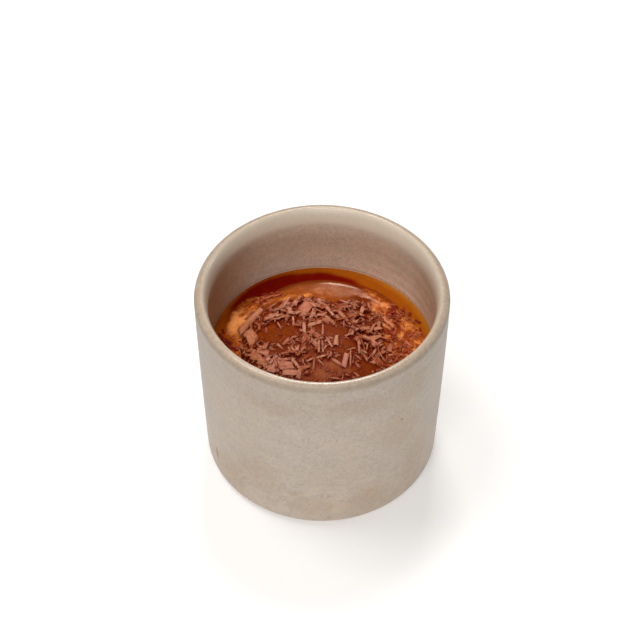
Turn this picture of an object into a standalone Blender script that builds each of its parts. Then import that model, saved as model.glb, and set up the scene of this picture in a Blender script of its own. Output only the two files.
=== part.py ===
"""An affogato in its handleless stoneware cup, at real size.

The cup is a turned stoneware body with a round lip. It holds espresso up to a level well below the
rim, and a scoop of coffee-coated ice cream that stands in it, strewn with chocolate shavings.
The origin is the centre of the flat base, +Z is up, and the side that faces -Y is the front.
Units are metres.
"""

import math
import random

import bmesh
import bpy
import numpy as np
from mathutils import Matrix, Vector

MM = 0.001

# Driving dimensions of the cup
RIM_RADIUS = 41.0 * MM
CUP_HEIGHT = 72.7 * MM
LIP_THICKNESS = 4.2 * MM
FOOT_RADIUS = 39.5 * MM
WALL_BULGE = 0.15 * MM
FOOT_CORNER = 4.0 * MM
FLOOR_THICKNESS = 6.0 * MM
FLOOR_CORNER = 13.0 * MM
CUP_STEPS = 64

# The coffee fills the cup up to this height, with a gap to what it touches
COFFEE_LEVEL = 45.0 * MM
GAP = 0.3 * MM
MENISCUS = 0.6 * MM
COFFEE_STEPS = 48

# The scoop: widest just under the coffee, flattened above it and a ball below
SCOOP_RADIUS = 29.6 * MM
SCOOP_WIDEST = 42.0 * MM
SCOOP_TOP = 53.6 * MM
SCOOP_BOTTOM = 9.0 * MM
SCOOP_STEPS = 36
SCOOP_RINGS = 18

# The shavings: how far one is sunk into what it lies on, and how near it may come to the edges
SHAVING_SUNK = 0.2 * MM
SHAVING_THICKNESS = 0.7 * MM
SHAVING_FACETS = 3
SCOOP_REACH = 0.94
COFFEE_REACH = 1.04
WALL_REACH = 36.0 * MM
STREWN_SHAVINGS = 62
FLOATING_SHAVINGS = 9
SEED = 16

# The largest shavings, one by one: place across and back from the middle, heading from +X,
# length, width, arc of the cross-section and tilt along the length (mm and degrees)
LARGE_SHAVINGS = (
    (-21.0, 8.5, 58, 13.0, 2.8, 150, 3),
    (-23.0, -1.5, 75, 7.0, 4.2, 40, 4),
    (-16.5, 10.5, 8, 4.0, 3.0, 60, 14),
    (-12.5, 12.5, 48, 6.5, 2.0, 110, 18),
    (-8.5, 14.0, 42, 7.0, 1.8, 100, 22),
    (-4.0, 11.5, 25, 6.5, 5.0, 50, 10),
    (3.0, 9.5, -56, 9.5, 1.6, 120, 12),
    (6.5, 12.5, 6, 6.5, 1.6, 110, 9),
    (9.0, 9.0, -50, 7.5, 1.6, 120, 16),
    (13.0, 11.0, -24, 5.5, 2.6, 90, 20),
    (12.5, 5.5, 12, 5.0, 1.8, 60, 12),
    (-5.0, 1.0, 84, 6.0, 2.2, 70, 15),
    (-4.5, -4.0, 80, 5.5, 3.0, 60, 18),
    (-1.5, -5.5, 30, 5.0, 2.6, 130, 24),
    (0.5, -7.5, -80, 6.0, 1.4, 60, 10),
    (4.5, -3.5, -62, 5.0, 1.3, 60, 16),
    (7.5, -3.0, 82, 4.0, 2.0, 160, 30),
    (11.5, 0.5, -20, 5.0, 1.2, 60, 12),
    (17.5, -1.5, -42, 7.5, 2.4, 70, 14),
    (14.0, -6.5, 86, 6.5, 1.4, 80, 20),
    (10.5, -11.5, 80, 7.5, 2.4, 170, 32),
    (12.5, -10.0, 86, 6.5, 1.2, 80, 26),
    (6.5, -13.0, -38, 6.5, 1.4, 60, 8),
    (1.0, -11.5, 20, 6.5, 1.4, 90, 10),
    (-2.0, -16.0, 82, 7.0, 1.4, 90, 8),
    (-8.5, -8.5, -58, 6.5, 1.6, 60, 10),
    (-12.5, -11.0, 6, 6.0, 1.8, 60, 8),
    (-17.0, -7.0, -30, 5.0, 3.0, 60, 8),
    (20.5, -9.5, -48, 7.5, 3.4, 50, 8),
    (23.5, 3.5, -36, 6.0, 2.2, 60, 8),
)


def cleared_scene():
    """Removes every object that the file starts with."""
    for obj in list(bpy.data.objects):
        bpy.data.objects.remove(obj, do_unlink=True)


def new_collection(name):
    collection = bpy.data.collections.new(name)
    bpy.context.scene.collection.children.link(collection)
    return collection


def new_material(name, colour, roughness, coat=0.0):
    """A Principled material: linear colour, roughness and a clear wet coat."""
    material = bpy.data.materials.new(name)
    material.use_nodes = True
    shader = material.node_tree.nodes["Principled BSDF"]
    shader.inputs["Base Color"].default_value = (*colour, 1.0)
    shader.inputs["Roughness"].default_value = roughness
    shader.inputs["Metallic"].default_value = 0.0
    shader.inputs["Coat Weight"].default_value = coat
    material.diffuse_color = (*colour, 1.0)
    return material


def arc(centre_r, centre_z, radius, start, end, steps):
    """Points of an arc in the (radius, height) plane, from start to end degrees."""
    points = []
    for step in range(steps + 1):
        angle = math.radians(start + (end - start) * step / steps)
        points.append((centre_r + radius * math.cos(angle), centre_z + radius * math.sin(angle)))
    return points


def turned(name, profile, steps, collection):
    """A solid of revolution: the profile runs from the axis down its outer side to the axis."""
    mesh = bpy.data.meshes.new(name)
    edges = [(i, i + 1) for i in range(len(profile) - 1)]
    mesh.from_pydata([(r, 0.0, z) for r, z in profile], edges, [])
    obj = bpy.data.objects.new(name, mesh)
    collection.objects.link(obj)
    screw = obj.modifiers.new("Turn", "SCREW")
    screw.axis = "Z"
    screw.steps = screw.render_steps = steps
    screw.use_merge_vertices = True
    screw.merge_threshold = 0.00001
    return obj


def outer_wall_radius(height):
    """The cup's outer radius: it widens evenly from foot to lip, with a slight bulge between."""
    bottom = FOOT_CORNER
    top = CUP_HEIGHT - LIP_THICKNESS / 2
    share = (height - bottom) / (top - bottom)
    return FOOT_RADIUS + (RIM_RADIUS - FOOT_RADIUS) * share + WALL_BULGE * 4 * share * (1 - share)


def cavity_profile(clearance, height):
    """The inside of the cup from the axis up to height, kept in from the wall by clearance."""
    wall = RIM_RADIUS - LIP_THICKNESS - clearance
    floor = FLOOR_THICKNESS + clearance
    corner = FLOOR_CORNER - clearance
    curve = arc(wall - corner, floor + corner, corner, -90, 0, 5)
    return [(0.0, floor), *curve, (wall, height)]


def make_cup(collection):
    """The cup: straight inner wall, round lip, slightly widening outer wall and a flat base."""
    lip = LIP_THICKNESS / 2
    lip_height = CUP_HEIGHT - lip
    inside = cavity_profile(0.0, COFFEE_LEVEL)
    rim = arc(RIM_RADIUS - lip, lip_height, lip, 180, 0, 8)
    heights = np.linspace(lip_height, FOOT_CORNER, 5)[1:-1]
    wall = [(outer_wall_radius(height), height) for height in heights]
    foot = arc(FOOT_RADIUS - FOOT_CORNER, FOOT_CORNER, FOOT_CORNER, 0, -90, 5)
    cup = turned("cup", [*inside, *rim, *wall, *foot, (0.0, 0.0)], CUP_STEPS, collection)
    cup.data.materials.append(new_material("stoneware", (0.46, 0.38, 0.30), 0.55))
    return cup


def scoop_radius(angle):
    """The scoop's widest radius round the cup: broad to the back, narrower at the two sides."""
    narrowing = 0.035 * math.cos(2 * angle - math.pi)
    return SCOOP_RADIUS * (1 + narrowing + 0.025 * math.cos(angle - 1.31))


def scoop_share(x, y):
    """How far out a place lies: 0 in the middle of the scoop, 1 at its widest outline."""
    return math.hypot(x, y) / scoop_radius(math.atan2(y, x))


def scoop_height(x, y):
    """The height of the scoop's top at a place: half an ellipsoid, with two shallow swells."""
    share = scoop_share(x, y)
    dome = (SCOOP_TOP - SCOOP_WIDEST) * math.sqrt(max(1 - share**2, 0.0))
    return SCOOP_WIDEST + dome + swell(x, y) * (1 - share**2)


def swell(x, y):
    """Shallow swells of the scoop's top, a few tenths of a millimetre deep."""
    return 0.35 * MM * (math.sin(x * 190 + 0.8) + math.cos(y * 230 - x * 90))


def scoop_mesh(grown):
    """A ball drawn out to the scoop's shape, with all of its surface moved out by grown."""
    shape = bmesh.new()
    bmesh.ops.create_uvsphere(shape, u_segments=SCOOP_STEPS, v_segments=SCOOP_RINGS, radius=1.0)
    for vertex in shape.verts:
        x, y, z = vertex.co
        angle = math.atan2(y, x)
        share = math.hypot(x, y)
        radius = (scoop_radius(angle) + grown) * share
        depth = SCOOP_TOP - SCOOP_WIDEST if z > 0 else SCOOP_WIDEST - SCOOP_BOTTOM
        vertex.co.x = radius * math.cos(angle)
        vertex.co.y = radius * math.sin(angle)
        vertex.co.z = SCOOP_WIDEST + (depth + grown) * z
        if z > 0:
            vertex.co.z += swell(vertex.co.x, vertex.co.y) * (1 - share**2)
    mesh = bpy.data.meshes.new("scoop")
    shape.to_mesh(mesh)
    shape.free()
    return mesh


def slope_frame(height_at, x, y):
    """The turn from level to the slope of the surface at a place."""
    step = 0.5 * MM
    dx = (height_at(x + step, y) - height_at(x - step, y)) / (2 * step)
    dy = (height_at(x, y + step) - height_at(x, y - step)) / (2 * step)
    return Vector((0, 0, 1)).rotation_difference(Vector((-dx, -dy, 1)))


def shaving_points(length, width, arc_degrees, taper, slant):
    """A shaving's sheet, arched across its width about its length and cut off at a slant.

    Row by row: two ends along X, SHAVING_FACETS + 1 points across each. With an arc a and a width w
    the cross-section is part of a circle of radius w / a, and its middle is the highest.
    """
    turn = math.radians(arc_degrees)
    radius = width / turn
    rows = []
    for end, share in ((-0.5, 1.0), (0.5, taper)):
        for facet in range(SHAVING_FACETS + 1):
            across = facet / SHAVING_FACETS - 0.5
            angle = turn * across
            along = end * length + slant * across * width
            side = radius * math.sin(angle) * share
            rows.append(Vector((along, side, radius * (math.cos(angle) - 1))))
    return rows


def place_shaving(name, shaving, height_at, collection):
    """One shaving as a closed thin solid, sunk a little at its low end into what it lies on."""
    x, y, heading, length, width, arc_degrees, tilt, taper, slant = shaving
    rows = shaving_points(length, width, arc_degrees, taper, slant)
    count = SHAVING_FACETS + 1
    faces = [(i, i + 1, i + count + 1, i + count) for i in range(SHAVING_FACETS)]
    turn = Matrix.Rotation(math.radians(heading), 4, "Z") @ Matrix.Rotation(
        math.radians(-tilt), 4, "Y"
    )
    slope = slope_frame(height_at, x, y).to_matrix().to_4x4()
    rise = math.sin(math.radians(tilt)) * length / 2
    lift = rise - SHAVING_SUNK + SHAVING_THICKNESS / 2
    low_edge = min(row.z for row in rows)
    place = Vector((x, y, height_at(x, y))) + slope @ Vector((0, 0, lift - low_edge * 0.8))
    whole = Matrix.Translation(place) @ slope @ turn
    mesh = bpy.data.meshes.new(name)
    mesh.from_pydata([whole @ row for row in rows], [], [face[::-1] for face in faces])
    obj = bpy.data.objects.new(name, mesh)
    collection.objects.link(obj)
    solid = obj.modifiers.new("Thickness", "SOLIDIFY")
    solid.thickness = SHAVING_THICKNESS
    solid.offset = 0.0
    return obj


def lies_on_scoop(obj):
    """True if the whole shaving lies inside the scoop's edge, clear of the coffee."""
    return max(scoop_share(vertex.co.x, vertex.co.y) for vertex in obj.data.vertices) < SCOOP_REACH


def floats_free(obj):
    """True if the whole shaving lies on the coffee, clear of the scoop and of the cup's wall."""
    points = [vertex.co for vertex in obj.data.vertices]
    inner = min(scoop_share(point.x, point.y) for point in points)
    outer = max(math.hypot(point.x, point.y) for point in points)
    return inner > COFFEE_REACH and outer < WALL_REACH


def strewn_density(x, y):
    """How thickly the shavings lie at a place on the scoop, from 0 to 1 (mm from the middle).

    They crowd along the crest at the back, in the middle, at the right and at the front left, and
    leave a smooth strip behind the crest and three smooth patches between them.
    """
    if y > 15.5 - 0.012 * (x + 2) ** 2:
        return 0.0
    bare = (
        math.hypot((x + 12) / 7.5, (y - 2) / 5.0),
        math.hypot((x - 6) / 4.0, (y + 9) / 4.0),
        math.hypot((x - 3) / 5.5, (y + 18) / 4.0),
    )
    return 0.08 if min(bare) < 1 else 1.0


def strewn_shaving(rng, x, y):
    """A smaller shaving of a random form at a place (mm)."""
    length = rng.uniform(3.0, 6.0)
    width = rng.uniform(1.1, 2.4)
    arc_degrees = rng.uniform(40, 130)
    tilt = rng.uniform(2, 28)
    return x, y, rng.uniform(-180, 180), length, width, arc_degrees, tilt


def to_metres(shaving, rng):
    """The same shaving in metres, with a taper and a slanted cut added."""
    x, y, heading, length, width, arc_degrees, tilt = shaving
    taper = rng.uniform(0.55, 1.0)
    slant = rng.uniform(-0.6, 0.6)
    return x * MM, y * MM, heading, length * MM, width * MM, arc_degrees, tilt, taper, slant


def strew_scoop(rng, collection):
    """The large shavings and then smaller ones by the density rule, all on the scoop."""
    wanted = list(LARGE_SHAVINGS)
    while len(wanted) < len(LARGE_SHAVINGS) + STREWN_SHAVINGS:
        x, y = rng.uniform(-28, 28), rng.uniform(-28, 28)
        if rng.random() < strewn_density(x, y):
            wanted.append(strewn_shaving(rng, x, y))
    for number, shaving in enumerate(wanted):
        name = f"shaving_{number}"
        obj = place_shaving(name, to_metres(shaving, rng), scoop_height, collection)
        if not lies_on_scoop(obj):
            bpy.data.objects.remove(obj)


def strew_coffee(rng, collection):
    """Small shavings that float between the scoop and the wall, most of them at the right."""
    count = 0
    while count < FLOATING_SHAVINGS:
        angle = rng.gauss(5, 24) if count < FLOATING_SHAVINGS - 2 else rng.gauss(135, 6)
        distance = rng.uniform(30.0, 35.0)
        x = distance * math.cos(math.radians(angle))
        y = distance * math.sin(math.radians(angle))
        heading = angle + 90 + rng.uniform(-25, 25)
        shaving = (x, y, heading, rng.uniform(2.6, 4.4), rng.uniform(1.0, 1.6), 50, 3)
        name = f"floating_{count}"
        obj = place_shaving(name, to_metres(shaving, rng), lambda x, y: COFFEE_LEVEL, collection)
        if floats_free(obj):
            count += 1
        else:
            bpy.data.objects.remove(obj)


def largest_shell(mesh):
    """Keeps the mesh's outer shell, and so fills sealed hollows and drops loose scraps.

    Two shells that only touch along an edge, where four faces meet, count as two.
    """
    shape = bmesh.new()
    shape.from_mesh(mesh)
    unseen = set(shape.faces)
    shells = []
    while unseen:
        shell = set()
        front = {unseen.pop()}
        while front:
            face = front.pop()
            shell.add(face)
            sides = [edge.link_faces for edge in face.edges if len(edge.link_faces) == 2]
            linked = {other for faces in sides for other in faces}
            front |= linked & unseen
            unseen -= linked
        shells.append(shell)
    shells.sort(key=lambda shell: sum(face.calc_area() for face in shell))
    for shell in shells[:-1]:
        bmesh.ops.delete(shape, geom=list(shell), context="FACES")
    shape.to_mesh(mesh)
    shape.free()


def apply_modifiers(obj):
    """Gives the object the mesh that its modifiers make."""
    graph = bpy.context.evaluated_depsgraph_get()
    mesh = bpy.data.meshes.new_from_object(obj.evaluated_get(graph))
    obj.modifiers.clear()
    obj.data = mesh


def fuse(obj, collection):
    """Joins every object of the collection to obj, and then removes them and the collection."""
    union = obj.modifiers.new("Fuse", "BOOLEAN")
    union.operation = "UNION"
    union.operand_type = "COLLECTION"
    union.collection = collection
    union.solver = "EXACT"
    apply_modifiers(obj)
    largest_shell(obj.data)
    for piece in list(collection.objects):
        bpy.data.objects.remove(piece)
    bpy.data.collections.remove(collection)


def make_ice_cream(collection):
    """The scoop with its shavings, as one solid."""
    scoop = bpy.data.objects.new("ice_cream", scoop_mesh(0.0))
    collection.objects.link(scoop)
    shavings = new_collection("Shavings")
    strew_scoop(random.Random(SEED), shavings)
    fuse(scoop, shavings)
    scoop.data.materials.clear()
    scoop.data.materials.append(new_material("coated_ice_cream", (0.26, 0.09, 0.035), 0.25, 0.6))
    return scoop


def make_coffee(collection):
    """The coffee: the inside of the cup up to its level, hollowed where the scoop stands."""
    wall = RIM_RADIUS - LIP_THICKNESS - GAP
    inside = cavity_profile(GAP, COFFEE_LEVEL + MENISCUS)
    surface = [(wall - 1.2 * MM, COFFEE_LEVEL), (0.0, COFFEE_LEVEL)]
    profile = [*inside, *surface]
    coffee = turned("coffee", profile[::-1], COFFEE_STEPS, collection)
    cutters = new_collection("Cutters")
    cutter = bpy.data.objects.new("scoop_hollow", scoop_mesh(GAP))
    cutters.objects.link(cutter)
    cut = coffee.modifiers.new("Hollow", "BOOLEAN")
    cut.operation = "DIFFERENCE"
    cut.object = cutter
    cut.solver = "EXACT"
    apply_modifiers(coffee)
    bpy.data.objects.remove(cutter)
    bpy.data.collections.remove(cutters)
    floating = new_collection("Floating")
    strew_coffee(random.Random(SEED + 1), floating)
    fuse(coffee, floating)
    coffee.data.materials.clear()
    coffee.data.materials.append(new_material("espresso_crema", (0.33, 0.10, 0.02), 0.18, 0.4))
    return coffee


def main():
    cleared_scene()
    collection = new_collection("Affogato")
    pieces = (make_cup(collection), make_coffee(collection), make_ice_cream(collection))
    for piece in pieces:
        piece.data.shade_smooth()
        piece.data.set_sharp_from_angle(angle=math.radians(35))


main()
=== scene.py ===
"""Dresses the affogato in its handleless stoneware cup: glaze, espresso with crema, the coated
scoop and its chocolate shavings. Lengths in the shapes are millimetres until a mesh is made."""

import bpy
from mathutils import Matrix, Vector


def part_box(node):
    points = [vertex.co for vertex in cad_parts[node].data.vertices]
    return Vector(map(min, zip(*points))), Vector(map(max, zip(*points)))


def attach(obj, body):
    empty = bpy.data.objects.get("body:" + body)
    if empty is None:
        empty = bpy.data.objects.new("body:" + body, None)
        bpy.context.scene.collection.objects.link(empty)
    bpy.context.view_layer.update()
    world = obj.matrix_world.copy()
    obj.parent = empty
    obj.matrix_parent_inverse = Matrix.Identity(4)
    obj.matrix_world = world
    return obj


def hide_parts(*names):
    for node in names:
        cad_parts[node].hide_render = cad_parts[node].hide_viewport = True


bl_info = {
    "name": "Affogato in a stoneware cup",
    "version": (1, 0, 0),
    "blender": (4, 5, 0),
    "location": "View3D > Sidebar > Affogato",
    "description": "Makes the glazed cup, the coffee, the scoop and its chocolate shavings",
    "category": "Object",
}

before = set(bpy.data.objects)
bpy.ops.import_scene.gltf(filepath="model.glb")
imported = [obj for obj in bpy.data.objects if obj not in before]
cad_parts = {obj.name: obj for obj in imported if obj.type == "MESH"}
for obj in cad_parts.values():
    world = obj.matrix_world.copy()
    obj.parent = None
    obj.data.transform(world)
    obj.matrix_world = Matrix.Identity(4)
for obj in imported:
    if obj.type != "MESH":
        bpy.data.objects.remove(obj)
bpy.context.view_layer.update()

import math

import bpy
import numpy as np
from mathutils import Matrix, Vector

MM = 1000.0  # in a metre

_, CUP_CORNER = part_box("cup")
RIM_RADIUS = float(CUP_CORNER[0]) * MM
CUP_HEIGHT = float(CUP_CORNER[2]) * MM

# The cup's section, as its solid has it
LIP_THICKNESS = 4.2
FOOT_RADIUS = 39.5
FOOT_CORNER = 4.0
WALL_BULGE = 0.15
FLOOR_THICKNESS = 6.0
FLOOR_CORNER = 13.0
INNER_RADIUS = RIM_RADIUS - LIP_THICKNESS

# The lip, softer than the solid's round one: how far its crest lies inside the rim, and how far
# it slopes down to the inner wall
LIP_ROUND = 2.3
LIP_SLOPE = 6.0

# The contents, as their solids have them: the coffee's level, and the scoop's widest radius, the
# height of that, its top and its bottom
COFFEE_LEVEL = 45.0
SCOOP_RADIUS = 29.6
SCOOP_WIDEST = 42.0
SCOOP_TOP = 53.6
SCOOP_BOTTOM = 9.0

# The scoop's radius at the coffee's level, as a share of its widest
WATERLINE = 0.966

# How high the coffee climbs at the wall, and how high the crema stands on it
MENISCUS = 0.35
CREMA_DEPTH = 0.45


# ---------------------------------------------------------------- settings


def length(label, default, about):
    """A length property in metres, from millimetres."""
    return bpy.props.FloatProperty(
        name=label, description=about, default=default / MM, unit="LENGTH", subtype="DISTANCE"
    )


def share(label, default, about):
    """A plain number between 0 and 1."""
    return bpy.props.FloatProperty(
        name=label, description=about, default=default, min=0.0, max=1.0, subtype="FACTOR"
    )


def colour(label, default, about):
    """A linear colour."""
    return bpy.props.FloatVectorProperty(
        name=label, description=about, default=default, size=3, min=0, max=1, subtype="COLOR"
    )


def tally(label, default, about):
    """A number of pieces."""
    return bpy.props.IntProperty(name=label, description=about, default=default, min=0)


def quantity(label, default, about, unit="NONE"):
    """Any other number."""
    return bpy.props.FloatProperty(name=label, description=about, default=default, unit=unit)


class CupSettings(bpy.types.PropertyGroup):
    """Sizes and colours of the stoneware cup."""

    throwing_depth: length("Throwing lines", 0.05, "How deep the lines left by throwing are")
    wobble: length("Wobble", 0.12, "How far the wall strays from a true circle")
    cool: colour("Cool glaze", (0.392, 0.333, 0.283), "Glaze where it lies thick")
    warm: colour("Warm glaze", (0.408, 0.334, 0.265), "Glaze where the clay shows through")
    # The lip's outer edge: thin glaze, with painted shade where the lip meets the wall
    lip: colour("Lip glaze", (0.478, 0.370, 0.276), "Glaze on top of the lip")
    edge: colour("Lip edge", (0.33, 0.258, 0.192), "Thin glaze round the lip's outer edge")
    # Lighter and warmer than the outer glaze: painted warm bounce light from the coffee
    inside: colour("Inner glaze", (0.575, 0.47, 0.37), "Glaze inside, warmed by coffee")
    # Painted light on the slope inside the lip
    lit_inner_lip: colour("Inner lip glaze", (0.77, 0.69, 0.56), "Glaze on the slope inside the lip")
    # Painted warm bounce light from the coffee on the glaze just above it
    coffee_bounce_light: colour("Glaze above the coffee", (0.72, 0.61, 0.49), "Glaze just above it")
    inside_warm: colour("Warm inner glaze", (0.58, 0.43, 0.31), "Inner glaze where it lies thin")
    # Painted shade on the inner wall, also used for a thin band just above the coffee
    shade_and_waterline: colour("Steeped glaze", (0.30, 0.140, 0.054), "Inner glaze next to the coffee")
    tan: colour("Tan glaze", (0.345, 0.262, 0.185), "Clouds in the glaze")
    stain: colour("Stain", (0.20, 0.125, 0.070), "Pits and marks in the glaze")
    clay: colour("Bare clay", (0.42, 0.30, 0.20), "Unglazed clay under the base")
    iron: colour("Iron speck", (0.10, 0.055, 0.03), "Dark specks in the glaze")
    roughness: share("Roughness", 0.50, "Roughness of the satin glaze")


class CoffeeSettings(bpy.types.PropertyGroup):
    """Sizes and colours of the espresso and its crema."""

    meniscus: length("Meniscus", MENISCUS, "How high the coffee climbs at the wall")
    crema_depth: length("Crema depth", CREMA_DEPTH, "How high the crema stands on the coffee")
    espresso: colour("Espresso", (0.20, 0.003, 0.0003), "Clear coffee seen from above")
    amber: colour("Amber", (0.42, 0.096, 0.004), "Thin coffee against the wall")
    wash: colour("Wash", (0.30, 0.060, 0.006), "Coat washed off into the coffee at the scoop")
    honey: colour("Honey", (0.48, 0.165, 0.010), "Coffee thinnest of all, at the wall")
    olive: colour("Shaded coffee", (0.40, 0.078, 0.004), "Coffee at the shaded left")
    crema: colour("Crema", (0.58, 0.165, 0.026), "Foam")
    crema_dark: colour("Dark crema", (0.34, 0.058, 0.006), "Foam where it is torn")
    # Thick pale foam, partly painted light at the left; also painted glints and bubbles
    crema_pale: colour("Pale crema", (0.95, 0.35, 0.100), "Thick light foam")


class ScoopSettings(bpy.types.PropertyGroup):
    """Colours of the coffee-coated scoop."""

    coat: colour("Coffee coat", (0.185, 0.027, 0.0006), "Smooth brown coat")
    coat_light: colour("Thin coat", (0.34, 0.078, 0.012), "Coat where it is thin")
    # Pinkish foam, and the painted highlight on the back shoulder
    foam: colour("Pale foam", (0.95, 0.58, 0.45), "Pinkish foam on the back shoulder")
    # Painted shade on the coat under the shavings
    crevice_shade: colour("Crevice", (0.135, 0.0080, 0.0002), "Wet coat under the shavings")


class ShavingSettings(bpy.types.PropertyGroup):
    """Numbers and colours of the chocolate shavings."""

    grit: tally("Grit", 900, "Finest crumbs")
    crumbs: tally("Crumbs", 1050, "Fine crumbs")
    splinters: tally("Splinters", 190, "Thin bars")
    flakes: tally("Flakes", 80, "Broad flakes")
    curls: tally("Curls", 24, "Rolled shavings")
    wet: tally("Wet pieces", 200, "Small pieces in the crema")
    chocolate: colour("Chocolate", (0.575, 0.238, 0.155), "Dull face of a shaving")
    chocolate_dark: colour("Dark chocolate", (0.285, 0.046, 0.010), "Shaded grain of a shaving")
    # Chocolate low on the coat: wetted by it, and painted shade there
    coated: colour("Coated chocolate", (0.19, 0.022, 0.001), "Chocolate low in the coat")
    stained: colour("Stained chocolate", (0.56, 0.215, 0.100), "Chocolate next to the crema")
    soaked: colour("Soaked chocolate", (0.66, 0.21, 0.100), "Chocolate wetted by the coffee")
    # Painted shade on chocolate under other shavings, also the darkest soaked chocolate
    crevice_shade: colour("Crevice", (0.150, 0.0075, 0.0002), "Chocolate under other shavings")


class StageSettings(bpy.types.PropertyGroup):
    """The camera's place and the lights."""

    view_elevation: bpy.props.FloatProperty(
        name="View elevation",
        description="How far above level the camera stands",
        default=math.radians(47.59),
        subtype="ANGLE",
    )
    view_distance: length("View distance", 585.8, "From the camera to what it looks at")
    view_height: length("Aim height", 58.8, "Height of the point that the camera looks at")
    view_aside: length("Aim aside", -0.6, "How far that point lies to the right")
    view_roll: bpy.props.FloatProperty(
        name="View roll", description="Roll of the camera", default=0.0042, subtype="ANGLE"
    )
    lens: quantity("Lens", 101.25, "Focal length in mm on a 36 mm sensor", "CAMERA")
    sky: quantity("Sky", 0.29, "Light from all round")
    floor_glow: quantity("Floor glow", 0.22, "Light that the pale floor gives back")
    front: quantity("Front", 3.2, "Watts of the low light in front", "POWER")
    over: quantity("Over", 3.9, "Watts of the raised light in front", "POWER")
    top: quantity("Top", 3.0, "Watts of the high light", "POWER")
    side: quantity("Side", 1.25, "Watts of the light at the right", "POWER")
    back: quantity("Back", 3.0, "Watts of the light behind", "POWER")


# ---------------------------------------------------------------- shader maths


class Term:
    """A socket's value in a material, with arithmetic that adds Math nodes."""

    def __init__(self, recipe, socket):
        self.recipe = recipe
        self.socket = socket

    def maths(self, operation, *values):
        inputs = dict(enumerate(values))
        return self.recipe.add("ShaderNodeMath", {"operation": operation}, inputs)

    def __add__(self, other):
        return self.maths("ADD", self, other)

    def __sub__(self, other):
        return self.maths("SUBTRACT", self, other)

    def __rsub__(self, other):
        return self.maths("SUBTRACT", other, self)

    def __mul__(self, other):
        return self.maths("MULTIPLY", self, other)

    def __pow__(self, other):
        return self.maths("POWER", self, other)

    __radd__ = __add__
    __rmul__ = __mul__

    def least(self, other):
        return self.maths("MINIMUM", self, other)

    def most(self, other):
        return self.maths("MAXIMUM", self, other)

    def size(self):
        return self.maths("ABSOLUTE", self)

    def step(self, low, high):
        """0 below low, 1 above high and a smooth step between. With low over high it falls."""
        start, end = (1.0, 0.0) if low > high else (0.0, 1.0)
        settings = {"interpolation_type": "SMOOTHSTEP"}
        inputs = {0: self, 1: min(low, high), 2: max(low, high), 3: start, 4: end}
        return self.recipe.add("ShaderNodeMapRange", settings, inputs)


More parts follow.
